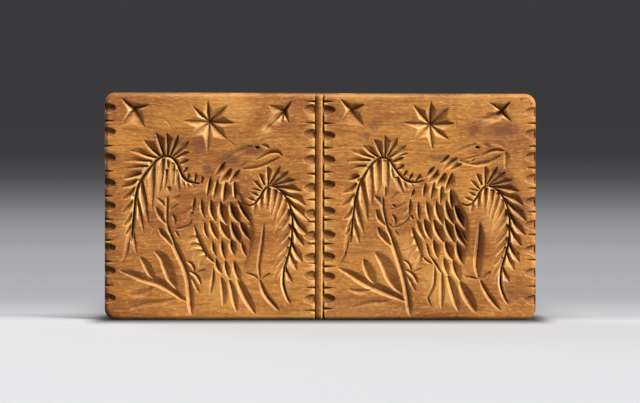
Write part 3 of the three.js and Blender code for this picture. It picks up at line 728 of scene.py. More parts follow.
cuts += [eye_cup(on_board(middle, panel)[0]) for panel, middle in EYES]
print(len(EYES), "eyes", EYE[-1], "mm deep")

# %% [markdown]
# ## The border rows
# Down both sides of each panel the carver pushed a gouge in from the edge, which leaves a trough
# with a round end like a thumbnail, and then cut a narrow V between each two troughs. The heights
# are the ones of this board, because a hand's rhythm is never even.

# %% Border rows
SCALLOP = (5.8, 2.6, 1.8)  # length, half width, depth
NOTCH = (5.6, 1.1, 2.2)
BEAD_LEFT = -2.6  # board x of the bottom of each groove beside the bead
BEAD_RIGHT = 1.8
BEHIND = 0.05  # beside the bead, a cut starts this far behind the bottom of the groove
OUTSIDE = -1.0  # the signed depth far from every cut, in millimetres
LEAST = 0.02  # a notch's or groove's least fullness, so that no width is nothing
gouged = []


def in_bead(x, x0, inwards):
    """True on the bead, behind the start of a cut that begins in one of the bead's grooves."""
    return ((x - x0) * inwards < -BEHIND) & (abs(x0) < HALF / 2)


def scallop(x0, y0, inwards):
    """A quarter of an egg: depth * sqrt(1 - a * a - b * b), where a is the way in from the edge as
    a share of the length and b the way across as a share of half the width."""
    length, half_width, depth = SCALLOP

    def wall(x, y):
        a = (x - x0) * inwards / length
        rho = np.hypot(np.maximum(a, 0), (y - y0) / half_width)
        egg = depth * np.sqrt(np.maximum(1 - rho**2, 0))
        return np.where(in_bead(x, x0, inwards), OUTSIDE, np.where(rho < 1, egg, depth * (1 - rho)))

    return reach(np.array([[x0, y0], [x0 + inwards * length, y0]]), half_width + MARGIN), wall


def notch(x0, y0, inwards):
    """A V that is full at the edge and runs out to a point: walls as a knife cut's, with a fullness
    that falls evenly along the way in."""
    length, half_width, depth = NOTCH

    def wall(x, y):
        full = np.clip(1 - (x - x0) * inwards / length, LEAST, 1)
        deep = full * depth * (1 - np.abs(y - y0) / (full * half_width))
        return np.where(in_bead(x, x0, inwards), OUTSIDE, deep)

    return reach(np.array([[x0, y0], [x0 + inwards * length, y0]]), WIDE_MARGIN), wall


ROWS = [  # the edge, the way in, and the heights of the scallops and of the notches
    (-HALF, 1, (106, 94, 81, 68.3, 57, 46.5, 36, 24.5, 10.9),
     (99.6, 87, 74.4, 62, 50.3, 39.9, 29.2, 17.3)),
    (BEAD_LEFT, -1, (105.4, 93, 80, 66, 53, 42, 31, 22, 10.3),
     (109.3, 98.5, 86, 73, 60, 49, 38, 28.4, 16.1, 4.6)),
    (BEAD_RIGHT, 1, (105, 92, 80, 67.5, 54.3, 42.5, 31.5, 21.5, 10.6),
     (109.2, 98.3, 86, 74, 60.8, 50, 38, 26.7, 16, 5.6)),
    (HALF, -1, (104, 93, 81.5, 70.5, 59, 47.5, 35, 23.5, 10),
     (98.3, 86.8, 76, 65.8, 54, 42.6, 30, 16.7)),
]
for edge, inwards, scallops, notches in ROWS:
    gouged += [scallop(edge, y0, inwards) for y0 in scallops]
    cuts += [notch(edge, y0, inwards) for y0 in notches]
print(len(cuts), "knife cuts with stars, eyes and notches, and", len(gouged), "gouge cuts")

# %% [markdown]
# ## The bead
# A narrow rib parts the two pictures. It is the same wood, left standing between two grooves, each
# with its wide wall towards the bead, so two V cuts make it here as well.

# %% Bead
OUTER_WALL = 0.4
LEFT_FLANK = 1.9  # how wide the bead's own wall is on each side
RIGHT_FLANK = 1.2
GROOVE_DEPTH = 1.8
GROOVE_TOP = HEIGHT - 1.6
RUN_OUT = 3.0  # a groove runs out over this height below its top
GROOVE_MARGIN = 2.0


def groove(x0, bead_side, flank):
    """A V with its wide wall towards the bead, as deep all the way down and running out over its top
    three millimetres."""

    def wall(x, y):
        off = (x - x0) * bead_side
        width = np.where(off > 0, flank, OUTER_WALL)
        full = np.clip((GROOVE_TOP - y) / RUN_OUT, LEAST, 1) ** 0.5
        return full * GROOVE_DEPTH * (1 - np.abs(off) / width)

    return reach(np.array([[x0, 0], [x0, HEIGHT]]), GROOVE_MARGIN), wall


cuts.append(groove(BEAD_LEFT, 1, LEFT_FLANK))
cuts.append(groove(BEAD_RIGHT, -1, RIGHT_FLANK))
print("bead", round(BEAD_RIGHT - BEAD_LEFT, 2), "mm wide")

# %% [markdown]
# ## Soft hollows
# Under the chips, the bird's body is hollowed, deepest along its right side, so that the pressed
# biscuit swells there. A hollow is a wide cut whose rim was rubbed smooth, and it is added to the
# depth, because the chips were cut into it afterwards.

# %% Hollows
HOLLOWS = """
16 2.0 1.3  65,66 68.5,58 71.6,50 72.4,43 71.6,36 69.6,28 67.5,23
3.0 3.0 0.5  84,84 76,83 68,78.5 61,72
"""
HOLLOW_STRAY = (2, 0)
HOLLOW_WEAR = 0.5  # how far the rim of a hollow is rubbed round
hollows = []
carve(leaf, RIGHT_PANEL, HOLLOWS, into=hollows)
carve(leaf, LEFT_PANEL, HOLLOWS, HOLLOW_STRAY, into=hollows)
print(len(hollows), "soft hollows")

# %% [markdown]
# ## The depth of the whole face
# Where two cuts cross, the deeper one is what is left of the wood, so the depth at a place is the
# most of all the cuts there. Old rims are worn, so the step from face to wall is rounded a little.

# %% Depth of the face
RIM_WEAR = 0.08


def signed_depth(x, y, group):
    """The deepest of a group's cuts at each place, in millimetres: below zero outside every cut."""
    signed = np.full(x.shape, OUTSIDE)
    for (x0, x1, y0, y1), wall in group:
        near = np.flatnonzero((x > x0) & (x < x1) & (y > y0) & (y < y1))
        if near.size:
            signed[near] = np.maximum(signed[near], wall(x[near], y[near]))
    return signed


def rounded(signed, wear):
    """The positive part of a signed depth with its rim rubbed round: half of s + sqrt(s * s + wear
    * wear), less what that leaves a whole millimetre outside."""
    return 0.5 * (signed + np.hypot(signed, wear)) - 0.5 * (np.hypot(1, wear) - 1)


def face_depth(x, y):
    """Depth of the carved face, the signed depth of its cuts, and the depths of its gouge cuts and of
    its soft hollows."""
    troughs = signed_depth(x, y, gouged)
    signed = np.maximum(signed_depth(x, y, cuts), troughs)
    soft = rounded(signed_depth(x, y, hollows), HOLLOW_WEAR)
    return rounded(signed, RIM_WEAR) + soft, signed, troughs, soft


# %% [markdown]
# ## The plank as one closed surface
# The face is a grid whose outer lines crowd together where the edge rounds over. Its corner cells
# are drawn in to the corner's arc. The grid's rim is then carried back in rings: down the sides,
# round the back edge, and over the back to a point in its middle.

# %% Plank grid
CORNER = 5.5  # radius of the plank's corners
ROUND = 2.5  # radius of its edges
TOP_FALL = 0.8  # the top edge is this much lower at its right end
CELL = 0.3
ROUND_STEPS = 8
RIM_FADE = 0.6  # the carving fades in over this distance from the outline
TINY = 1e-9


def grid_line(size):
    """Places along one side from 0 to size: crowded over the rounded edge, even between."""
    bend = ROUND * (1 - np.cos(np.linspace(0, np.pi / 2, ROUND_STEPS + 1)))
    middle = np.linspace(ROUND, size - ROUND, int((size - 2 * ROUND) / CELL) + 1)
    return np.r_[bend[:-1], middle, size - bend[-2::-1]]


def top_edge(x):
    """Height of the plank's top above a place along its length: it falls evenly to the right."""
    return HEIGHT - TOP_FALL * (x + HALF) / LENGTH


def corner_arc(x, y):
    """Square corner cells drawn in to arcs: a place at (p, q) in a corner's square, both from 0 to 1
    outwards, moves to (p, q) * max(p, q) / hypot(p, q)."""
    top = top_edge(x)
    px = np.clip((np.abs(x) - (HALF - CORNER)) / CORNER, 0, 1)
    rise = y * top
    mid = top / 2
    qy = np.clip((np.abs(rise - mid) - (mid - CORNER)) / CORNER, 0, 1)
    both = (px > 0) & (qy > 0)
    pull = np.where(both, np.maximum(px, qy) / np.maximum(np.hypot(px, qy), TINY), 1.0)
    new_x = np.where(both, np.sign(x) * (HALF - CORNER + CORNER * px * pull), x)
    new_y = np.where(both, mid + np.sign(rise - mid) * (mid - CORNER + CORNER * qy * pull), rise)
    return new_x, new_y


line_x = grid_line(LENGTH)
line_y = grid_line(HEIGHT)
grid_x, share_y = np.meshgrid(line_x - HALF, line_y / HEIGHT)
face_x, face_y = corner_arc(grid_x, share_y)
inset_x = np.minimum(line_x, LENGTH - line_x)[None, :]
inset = np.minimum(inset_x, np.minimum(line_y, HEIGHT - line_y)[:, None])
drop = ROUND - np.sqrt(ROUND**2 - (ROUND - np.minimum(inset, ROUND)) ** 2)
depth, signed, troughs, soft = face_depth(face_x.ravel(), face_y.ravel())
face_z = -(drop + depth.reshape(drop.shape) * np.clip(inset / RIM_FADE, 0, 1))
print("face grid", face_x.shape, "deepest", round(float(-face_z.min()), 2), "mm")

# %% [markdown]
# ## Sides and back
# The back wasn't seen, so it is plain. Each ring is the face's rim, drawn in and set further back,
# so the bands between two rings are plain quads.

# %% Rings round the sides and the back
SIDE_ROWS = 6
BACK_RINGS = (0.85, 0.6, 0.3)  # the rings on the back, as shares of the last one's size
rows, cols = face_x.shape
index = np.arange(rows * cols).reshape(rows, cols)
rim = np.r_[index[0, :-1], index[:-1, -1], index[-1, :0:-1], index[:0:-1, 0]]
rim_x, rim_y = (grid.ravel()[rim] for grid in (face_x, face_y))
side = [(0.0, back) for back in np.linspace(ROUND, THICKNESS - ROUND, SIDE_ROWS)[1:]]
bend = np.linspace(0, np.pi / 2, ROUND_STEPS + 1)[1:]
side += [(ROUND * (1 - math.cos(a)), THICKNESS - ROUND + ROUND * math.sin(a)) for a in bend]
middle_y = HEIGHT / 2


def drawn_in(x, y, share_x, share_y, z):
    """A ring of points at one depth, drawn in towards the middle of the plank."""
    return np.column_stack([x * share_x, middle_y + (y - middle_y) * share_y, np.full(len(x), z)])


rings = [
    drawn_in(rim_x, rim_y, 1 - inward / HALF, 1 - inward / middle_y, -back) for inward, back in side
]
flat_x, flat_y, flat_z = rings[-1].T
rings += [drawn_in(flat_x, flat_y, scale, scale, flat_z[0]) for scale in BACK_RINGS]
face_points = np.column_stack([face_x.ravel(), face_y.ravel(), face_z.ravel()])
points = np.vstack([face_points, *rings, [[0, middle_y, -THICKNESS]]])
print(len(rings), "rings of", len(rim), "points")

# %% Faces of the plank
def grid_quads(cells):
    """The quads between the points of a grid, given the points' numbers."""
    corners = (cells[:-1, :-1], cells[:-1, 1:], cells[1:, 1:], cells[1:, :-1])
    return np.stack(corners, -1).reshape(-1, 4)


count = len(rim)
loops = [rim] + [rows * cols + k * count + np.arange(count) for k in range(len(rings))]
bands = [np.stack([a, b, np.roll(b, -1), np.roll(a, -1)], -1) for a, b in zip(loops, loops[1:])]
quads = np.vstack([grid_quads(index), *bands])
tip = np.full(count, len(points) - 1)
fan = np.stack([loops[-1], tip, np.roll(loops[-1], -1)], -1)
out_of_face = -points[:, 2] + low.y / MM
standing = np.column_stack([points[:, 0], out_of_face, points[:, 1]]) * MM
rough_mesh = bpy.data.meshes.new("mould_board_carved")
rough_mesh.from_pydata(standing.tolist(), [], quads.tolist() + fan.tolist())
rough_mesh.update()
print("full grid", len(rough_mesh.polygons), "faces")

# %% [markdown]
# ## Fewer triangles, crisp creases
# A flat wall needs few triangles and a rim needs many. The Decimate modifier takes triangles away
# where the surface is flat, so the rims and keels keep the full grid's sharpness in a mesh that is
# light enough to hand over. Edges that bend sharply are then marked, so each wall shades flat.

# %% Finish the mesh
MOST_TRIANGLES = 190000
SHARP = math.radians(24)
board = bpy.data.objects.new("mould_board_carved", rough_mesh)
bpy.context.scene.collection.objects.link(board)
now = 2 * len(quads) + len(fan)
if now > MOST_TRIANGLES:
    thin = board.modifiers.new("thin", "DECIMATE")
    thin.ratio = MOST_TRIANGLES / now
    graph = bpy.context.evaluated_depsgraph_get()
    light_mesh = bpy.data.meshes.new_from_object(board.evaluated_get(graph))
    board.modifiers.clear()
    board.data = light_mesh
    light_mesh.name = "mould_board_carved"
mesh = board.data
mesh.shade_smooth()
mesh.set_sharp_from_angle(angle=SHARP)
print("finished mesh", sum(len(p.vertices) - 2 for p in mesh.polygons), "triangles")

# %% [markdown]
# ## Where dirt and painted shade gather, and hands polish
# Dirt stays in the deep keels, and the same mask paints shade into the keels, the deepest cuts, the
# gouge troughs and the hollowed breast. Hands rub the tops of the walls and the ridges between cuts,
# and that mask also paints highlights there. Both follow from the shape: a place lower than the mean
# of its neighbourhood is a keel, and a higher one is a ridge. The masks are worked out on the full
# grid. In each pair of depths below, in millimetres, an effect starts at the first and is full at
# the second.

# %% Dirt and painted shade, polish and painted highlights
NEIGHBOURHOOD = 1.2  # half the width of the square that the mean is taken over, in millimetres
KEEL_REACH = 0.6  # the same for the narrow line of dirt along a keel
INSIDE = (0.06, 0.2)
BREAST = (0.2, 1.2)
BREAST_CHIP = (0.5, 1.8)
TROUGH = (0.2, 0.9)
DEEPEST = (2.6, 3.9)
RIDGE = (0.3, 0.8)
ARRIS = (0.2, 1.6)
# The dirt mask is also painted shade: these weights darken the hollowed breast, the gouge troughs,
# the deepest cuts and the keels.
BREAST_DIRT_AND_SHADE, TROUGH_DIRT_AND_SHADE, DEEP_DIRT_AND_SHADE, KEEL_DIRT_AND_SHADE = 0.9, 0.25, 0.8, 2.6
# Places that stand above their neighbourhood are rubbed bright: hand polish, and also a painted
# highlight on ridges and the tops of walls, less in the hollowed breast.
RUBBING = 2.2  # how soon a place that stands above its neighbourhood is rubbed bright
BREAST_SHELTER = 0.35  # how much less the hollow breast is rubbed


def smooth(value, start, end):
    """0 below start, 1 above end, and 3 t * t - 2 t * t * t between."""
    t = np.clip((value - start) / (end - start), 0, 1)
    return t * t * (3 - 2 * t)


def square_mean(grid, reach_cells):
    """The mean over a square round each cell, from running sums along both directions."""
    size = 2 * reach_cells + 1
    sums = np.pad(np.pad(grid, reach_cells, mode="edge"), ((1, 0), (1, 0))).cumsum(0).cumsum(1)
    total = sums[size:, size:] - sums[:-size, size:] - sums[size:, :-size] + sums[:-size, :-size]
    return total / size**2


cut_depth = rounded(signed, RIM_WEAR).reshape(face_x.shape)
inside = smooth(cut_depth, *INSIDE)
keel = cut_depth - square_mean(cut_depth, round(KEEL_REACH / CELL))
hollowed = smooth(soft, *BREAST).reshape(face_x.shape)
breast = hollowed * smooth(cut_depth, *BREAST_CHIP)
trough = smooth(troughs, *TROUGH).reshape(face_x.shape)
deepest = smooth(cut_depth, *DEEPEST)
# Dirt and painted shade, darkest in keels, deep cuts, troughs and the hollowed breast.
dirt_and_shade = BREAST_DIRT_AND_SHADE * breast + TROUGH_DIRT_AND_SHADE * trough + DEEP_DIRT_AND_SHADE * deepest + KEEL_DIRT_AND_SHADE * keel
grime_and_shade = inside * np.clip(dirt_and_shade, 0, 1)
above = square_mean(cut_depth, round(NEIGHBOURHOOD / CELL)) - cut_depth
# Hand polish and painted highlight on ridges and the tops of walls.
polish_and_highlight = np.maximum(inside * np.clip(RUBBING * above, 0, 1), smooth(above, *RIDGE))
polish_and_highlight *= 1 - BREAST_SHELTER * hollowed
arris = 1 - smooth(inset, *ARRIS)
print("grime up to", round(float(grime_and_shade.max()), 2), "polish up to", round(float(polish_and_highlight.max()), 2))

# %% [markdown]
# ## Masks on the mesh
# The finished mesh has points of its own, so each mask is read from the grid where a point lies and
# stored as an attribute, which the material reads by its name. No painted picture is needed.

# %% Store the masks
MASK_REACH = 1.0  # the masks reach this far down the sides, past the rounded edge
spots = np.zeros(len(mesh.vertices) * 3, np.float32)
mesh.vertices.foreach_get("co", spots)
spots = spots.reshape(-1, 3).astype(float) / MM
top_here = top_edge(spots[:, 0])
col = np.interp(spots[:, 0] + HALF, line_x, np.arange(cols))
row = np.interp(spots[:, 2] / top_here * HEIGHT, line_y, np.arange(rows))
left_col = np.minimum(col.astype(int), cols - 2)
low_row = np.minimum(row.astype(int), rows - 2)
across, up = col - left_col, row - low_row
from_side = np.minimum(HALF - np.abs(spots[:, 0]), np.minimum(spots[:, 2], top_here - spots[:, 2]))
on_face = spots[:, 1] < np.where(from_side > ROUND, 0, low.y / MM + ROUND + MASK_REACH)


def store(name, grid):
    """One number for each point, read from the face's grid between its four nearest cells."""
    lower_row = grid[low_row, left_col] * (1 - across) + grid[low_row, left_col + 1] * across
    upper_row = grid[low_row + 1, left_col] * (1 - across) + grid[low_row + 1, left_col + 1] * across
    values = np.where(on_face, lower_row * (1 - up) + upper_row * up, 0)
    layer = mesh.attributes.new(name, "FLOAT", "POINT")
    layer.data.foreach_set("value", values.astype(np.float32))


# Stored: dirt with painted shade, polish with painted highlight, and the bumped edge.
store("grime_and_shade", grime_and_shade)
store("polish_and_highlight", polish_and_highlight)
store("arris", arris)
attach(board, "root")
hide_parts("mould_board")
print(int(on_face.sum()), "points on the face")

# %% [markdown]
# ## Building blocks for a material
# A few helpers keep the node trees short: one makes a node and links what it is given, one does
# arithmetic on two values, and one turns colours as a screen shows them into the linear values that
# a shader works with.

# %% Node helpers
from functools import partial


def feed(socket, value):
    """Links an output to an input, or sets the input where the value is a plain number or colour."""
    if isinstance(value, bpy.types.NodeSocket):
        socket.id_data.links.new(value, socket)
    else:
        socket.default_value = value


def node(tree, kind, **settings):
    """A shader node of one kind. Settings that name an input feed it, and the rest are properties."""
    made = tree.nodes.new(kind)
    for key, value in settings.items():
        if key in made.inputs:
            feed(made.inputs[key], value)
        else:
            setattr(made, key, value)
    return made


def maths(operation, first, second=0.0, clamp=False, kind="ShaderNodeMath"):
    """One Math node on two values, in the tree that they come from."""
    tree = next(v.id_data for v in (first, second) if isinstance(v, bpy.types.NodeSocket))
    made = node(tree, kind, operation=operation)
    if clamp:
        made.use_clamp = True
    feed(made.inputs[0], first)
    feed(made.inputs[1], second)
    return made.outputs[0]


plus, minus, times = (partial(maths, operation) for operation in ("ADD", "SUBTRACT", "MULTIPLY"))
vector_maths = partial(maths, kind="ShaderNodeVectorMath")


def blend(factor, first, second):
    """Two colours mixed by a factor."""
    made = node(factor.id_data, "ShaderNodeMix", data_type="RGBA")
    for place, value in ((0, factor), (6, first), (7, second)):
        feed(made.inputs[place], value)
    return made.outputs[2]


def spread(value, start, end, low_end=0.0, high_end=1.0):
    """A value that runs from start to end, made to run from low_end to high_end and held there."""
    ends = {"From Min": start, "From Max": end, "To Min": low_end, "To Max": high_end}
    kind = {"interpolation_type": "SMOOTHSTEP", "Value": value}
    return node(value.id_data, "ShaderNodeMapRange", **kind, **ends).outputs["Result"]


def mask(tree, name):
    """A number that is stored on the mesh's points."""
    return node(tree, "ShaderNodeAttribute", attribute_name=name).outputs["Fac"]


def srgb(r, g, b):
    """A colour measured as 0 to 255 on a screen, as the linear values that a shader wants."""
    share = np.array([r, g, b]) / 255
    linear = np.where(share <= 0.04045, share / 12.92, ((share + 0.055) / 1.055) ** 2.4)
    return (*(float(c) for c in linear), 1.0)


print("mid brown is", [round(c, 3) for c in srgb(176, 115, 58)])

# %% [markdown]
# ## The wood's figure
# A board is cut from a round trunk, so its figure follows rings. The distance from a heart line far
# below and behind the board stands for the ring, and noise that is stretched along X, the way the
# trunk grew, gives bands, fibres and pores. Because it is worked out in space, the same rings run
# over the face, round the edges and through the end grain. Blotches are drawn out along the grain.

# %% Wood figure group
FLOAT, VECTOR = "NodeSocketFloat", "NodeSocketVector"
WANDER = 0.012  # how far a ring strays from its circle, in metres
GRAINS = (  # output, cells to a metre along the trunk and across the rings, and detail
    ("Bands", 5.0, 330.0, 3.0), ("Fibres", 60.0, 1200.0, 4.0), ("Specks", 480.0, 1700.0, 2.0),
)
THROUGH = 6  # the noise changes this much faster through the board than along it
DRAWN_OUT = (0.45, 1.0, 1.0)


def new_group(name, inputs, outputs):
    """An empty shader node group with named sockets, and what comes in and goes out of it."""
    made = bpy.data.node_groups.new(name, "ShaderNodeTree")
    for direction, sockets in (("INPUT", inputs), ("OUTPUT", outputs)):
        for socket, kind in sockets.items():
            made.interface.new_socket(name=socket, in_out=direction, socket_type=kind)
    come_in, go_out = made.nodes.new("NodeGroupInput"), made.nodes.new("NodeGroupOutput")
    return made, come_in.outputs, go_out.inputs


figure, given, result = new_group(
    "wood_figure",
    {"Place": VECTOR, "Heart Depth": FLOAT, "Heart Height": FLOAT},
    {"Bands": FLOAT, "Fibres": FLOAT, "Specks": FLOAT, "Blotches": FLOAT},
)
parts = node(figure, "ShaderNodeSeparateXYZ", Vector=given["Place"]).outputs
wander = node(figure, "ShaderNodeTexNoise", Vector=given["Place"], Scale=14.0, Detail=2.0)
deep = minus(parts["Y"], given["Heart Depth"])
tall = minus(parts["Z"], given["Heart Height"])
ring = maths("SQRT", plus(times(deep, deep), times(tall, tall)))
ring = plus(ring, times(minus(wander.outputs["Fac"], 0.5), WANDER))
for output, along, around, detail in GRAINS:
    seat = node(figure, "ShaderNodeCombineXYZ", X=times(parts["X"], along), Y=times(ring, around))
    feed(seat.inputs["Z"], times(parts["Y"], along * THROUGH))
    grain = node(figure, "ShaderNodeTexNoise", Vector=seat.outputs[0], Scale=1.0, Detail=detail)
    grain.inputs["Roughness"].default_value = 0.55
    feed(result[output], grain.outputs["Fac"])
drawn_out = vector_maths("MULTIPLY", given["Place"], DRAWN_OUT)
blotch = node(figure, "ShaderNodeTexNoise", Vector=drawn_out, Scale=48.0, Detail=4.0, Roughness=0.65)
feed(result["Blotches"], blotch.outputs["Fac"])
print(figure.name, "has", len(figure.nodes), "nodes")

# %% [markdown]
# ## Stains
# Old stains lie where hands and wet dough left them. Each is an oval with a ragged edge: how far a
# place is from the oval's middle, as a share of its size, is disturbed by noise before it is cut off.

# %% Stain group
FADING = (0.35, 1.15)  # a stain fades from the first of these shares of its size to the second
stain, given, result = new_group(
    "soft_stain", {"Place": VECTOR, "Middle": VECTOR, "Size": VECTOR}, {"Mask": FLOAT}
)
offset = vector_maths("SUBTRACT", given["Place"], given["Middle"])
share = vector_maths("DIVIDE", offset, given["Size"])
length = node(stain, "ShaderNodeVectorMath", operation="LENGTH", Vector=share).outputs["Value"]
ragged = node(stain, "ShaderNodeTexNoise", Vector=given["Place"], Scale=420.0, Detail=3.0)
uneven = plus(length, minus(ragged.outputs["Fac"], 0.5))
feed(result["Mask"], spread(uneven, *FADING, 1.0, 0.0))
print(stain.name, "has", len(stain.nodes), "nodes")

# %% [markdown]
# ## The colours of old wood
# The wood is honey brown, with darker bands and fibres, pale fibres beside them and small bright
# nicks. Each is one colour laid over the last where its noise is high or low, so the strengths can
# be set one by one, which a picture of wood wouldn't allow.

# %% Old carved wood
HEART_DEPTH, HEART_HEIGHT = 0.14, -0.09  # where the trunk's heart line lies, in metres
BLOTCHY = (0.38, 0.66)  # the blotch noise turns honey to brown between these
HONEY, BROWN = srgb(197, 131, 61), srgb(148, 86, 39)
DARK, MID = srgb(124, 72, 30), srgb(179, 115, 49)
LIGHT, NICK = srgb(226, 168, 94), srgb(236, 186, 110)
GRAIN_COLOURS = [  # noise, where a colour starts and is full, its strength there, the colour
    ("Bands", 0.35, 0.7, 0.5, MID), ("Fibres", 0.5, 0.34, 0.45, DARK),
    ("Fibres", 0.53, 0.7, 0.28, LIGHT), ("Specks", 0.47, 0.34, 0.34, DARK),
    ("Specks", 0.53, 0.68, 0.28, LIGHT), ("Specks", 0.66, 0.77, 0.6, NICK),
]


def new_material(name):
    """A material with its tree and its Principled shader."""
    made = bpy.data.materials.new(name)
    made.use_nodes = True
    return made, made.node_tree, made.node_tree.nodes["Principled BSDF"]


wood, tree, shader = new_material("old_carved_wood")
place = node(tree, "ShaderNodeTexCoord").outputs["Object"]
looks = node(tree, "ShaderNodeGroup", node_tree=figure, Place=place)
looks.inputs["Heart Depth"].default_value = HEART_DEPTH
looks.inputs["Heart Height"].default_value = HEART_HEIGHT
base = blend(spread(looks.outputs["Blotches"], *BLOTCHY), HONEY, BROWN)
for noise, start, full, strength, colour in GRAIN_COLOURS:
    base = blend(spread(looks.outputs[noise], start, full, 0.0, strength), base, colour)
print(len(GRAIN_COLOURS), "colours in the grain")

# %% [markdown]
# ## Rubbed ridges with painted highlights, stains and worn places
# The polish, which is also a painted highlight on ridges and the tops of walls, comes first, because
# a stain lies over it. Every stain and worn place is the same group with a place and a size of its
# own: dark where dough and fat soaked in, pale where hands held it, and pale along the top edge,
# which is partly wear and partly painted light from above.

# %% Stains in their places
RUBBED_HIGHLIGHT, STAINED, PALE = srgb(244, 194, 118), srgb(112, 66, 42), srgb(226, 168, 92)
RUB_HIGHLIGHT_SHOWS = 0.84
STAIN_DEPTH, PALE_PATCH_DEPTH = 6, 8  # half the size of a patch through the board, in millimetres
STAINS = [  # x and height of the middle, half the width and half the height, and the strength
    (84, 96.5, 17, 6, 0.45), (91, 69, 9, 9, 0.65), (99, 55, 6, 12, 0.5), (-20, 68, 8, 8, 0.55),
    (32, 86, 10, 8, 0.4), (-77, 87, 11, 8, 0.5), (79.2, 36, 3, 15, 0.6), (66, 48, 9, 13, 0.3),
    (-44, 48, 9, 13, 0.3), (-34, 85, 7, 3, 0.8), (-46, 80.5, 7, 3.4, 0.8), (-56, 75, 4, 3, 0.7),
    (-94, 24, 7, 7, 0.12), (37, 99, 7, 5, 0.15), (86, 103.2, 4.0, 1.2, 0.8),
    (83.5, 101.4, 2.4, 1.2, 0.7), (76.9, 95, 4.5, 3.0, 0.6), (92, 94, 10, 4.5, 0.6),
    (27.4, 98, 4.0, 4.0, 0.5), (58, 81, 5.5, 2.2, 0.5), (-61, 87.5, 5.0, 4.5, 0.7),
    (-104, 81, 5.0, 4.0, 0.6), (-65, 33, 3.2, 2.4, 0.6), (-56.6, 22.8, 3.4, 3.0, 0.45),
    (76.9, 98.8, 1.1, 0.7, 0.9), (22.9, 92, 2.2, 2.4, 0.55), (100.6, 110.4, 0.9, 0.7, 0.9),
    (105.6, 108, 0.9, 0.8, 0.8), (84.2, 86.8, 2.4, 1.4, 0.4), (98, 15, 7.0, 5.0, 0.35),
    (-107, 70, 2.6, 6.0, 0.8), (-106, 2, 6.0, 5.0, 0.7),
]
# Pale patches: worn places, and the long thin ones along the top edge, which are partly wear and
# partly painted light from above.
WORN_AND_TOP_LIGHT = [
    (85.6, 99.8, 4.5, 1.4, 0.9), (89.4, 101.6, 1.8, 1.8, 0.8), (-26.8, 95, 3.4, 2.2, 0.85),
    (-23, 99.4, 2.8, 2.6, 0.75), (-48, 106, 19, 7, 0.3), (20, 112.4, 40, 2.6, 0.4),
    (-60, 113, 40, 2.6, 0.25), (75, 110, 26, 3.5, 0.2), (63, 18, 13, 15, 0.55), (20, 5, 26, 5, 0.2),
    (-47, 18, 13, 15, 0.4), (46, 34, 6, 14, 0.3), (30, 26, 12, 12, 0.2), (31, 70, 8, 10, 0.35),
    (-79, 68, 8, 12, 0.35), (86, 52, 6, 12, 0.3), (60, 66, 8, 5, 0.35), (-50, 66, 8, 5, 0.35),
    (-62, 36, 7, 12, 0.3), (-96, 45, 6, 14, 0.3),
]


def patches(base, spots, half_depth, colour):
    """A colour with soft patches of another colour laid over it."""
    for x0, y0, half_width, half_height, strength in spots:
        patch = node(tree, "ShaderNodeGroup", node_tree=stain, Place=place)
        patch.inputs["Middle"].default_value = (x0 * MM, low.y, y0 * MM)
        patch.inputs["Size"].default_value = (half_width * MM, half_depth * MM, half_height * MM)
        base = blend(times(patch.outputs["Mask"], strength), base, colour)
    return base


# Hand polish and painted highlight: ridges and the tops of walls are lightened in the base colour.
base = blend(times(mask(tree, "polish_and_highlight"), RUB_HIGHLIGHT_SHOWS, clamp=True), base, RUBBED_HIGHLIGHT)
base = patches(base, STAINS, STAIN_DEPTH, STAINED)
base = patches(base, WORN_AND_TOP_LIGHT, PALE_PATCH_DEPTH, PALE)
print(len(STAINS), "stains and", len(WORN_AND_TOP_LIGHT), "worn places")

# %% [markdown]
# ## Dirt and painted shade, bumped edges and the surface
# Dirt and painted shade darken the keels, deep cuts, troughs and hollowed breast, and the same mask
# takes their shine, and the board's edge is dark in patches where it was bumped. Fibres and pores are
# too fine to model, so a Bump node lifts them, and a second one gives the slow waves that a hand
# plane leaves.

# %% Dirt, painted shade and surface
GRIME_AND_SHADE_COLOUR, BUMPED = srgb(48, 27, 13), srgb(96, 58, 32)
FIBRE_HEIGHT, PLANE_HEIGHT = 0.0003, 0.0005  # metres
DIRT_AND_SHADE_SHOWS, DIRT_DULLS, SHINE = 0.85, 0.25, 0.28
SPECK_SHARE = 0.7  # how high the pores stand beside the fibres
BUMPS = (0.42, 0.58, 0.1, 0.75)  # from these values of the blotch noise to these strengths
GLOSS = (0.3, 0.7, 0.46, 0.6)  # from these values of the blotch noise to these roughnesses
# Dirt and painted shade darken the keels, deep cuts, troughs and hollowed breast in the base colour.
dirt_and_shade = mask(tree, "grime_and_shade")
base = blend(times(dirt_and_shade, DIRT_AND_SHADE_SHOWS, clamp=True), base, GRIME_AND_SHADE_COLOUR)
bumped = times(mask(tree, "arris"), spread(looks.outputs["Blotches"], *BUMPS))
gloss = spread(looks.outputs["Blotches"], *GLOSS)
fine = plus(looks.outputs["Fibres"], times(looks.outputs["Specks"], SPECK_SHARE))
bump = node(tree, "ShaderNodeBump", Strength=0.5, Distance=FIBRE_HEIGHT, Height=fine)
planed = node(tree, "ShaderNodeTexNoise", Vector=place, Scale=60.0, Detail=1.0)
waves = node(tree, "ShaderNodeBump", Strength=1.0, Distance=PLANE_HEIGHT, Normal=bump.outputs[0])
feed(waves.inputs["Height"], planed.outputs["Fac"])
feed(shader.inputs["Base Color"], blend(bumped, base, BUMPED))
feed(shader.inputs["Roughness"], plus(gloss, times(dirt_and_shade, DIRT_DULLS)))
feed(shader.inputs["Specular IOR Level"], SHINE)
feed(shader.inputs["Normal"], waves.outputs[0])
board.data.materials.clear()
board.data.materials.append(wood)
print(wood.name, "has", len(tree.nodes), "nodes")

# %% [markdown]
# ## A pale floor that rises into a grey backdrop
# The floor is one sweep, as of paper: flat under the board and curved up behind it, so no line shows
# between floor and wall. It is a profile carried sideways. A number that grows along the profile is
# stored on its points, so that one ramp can colour floor and wall together.

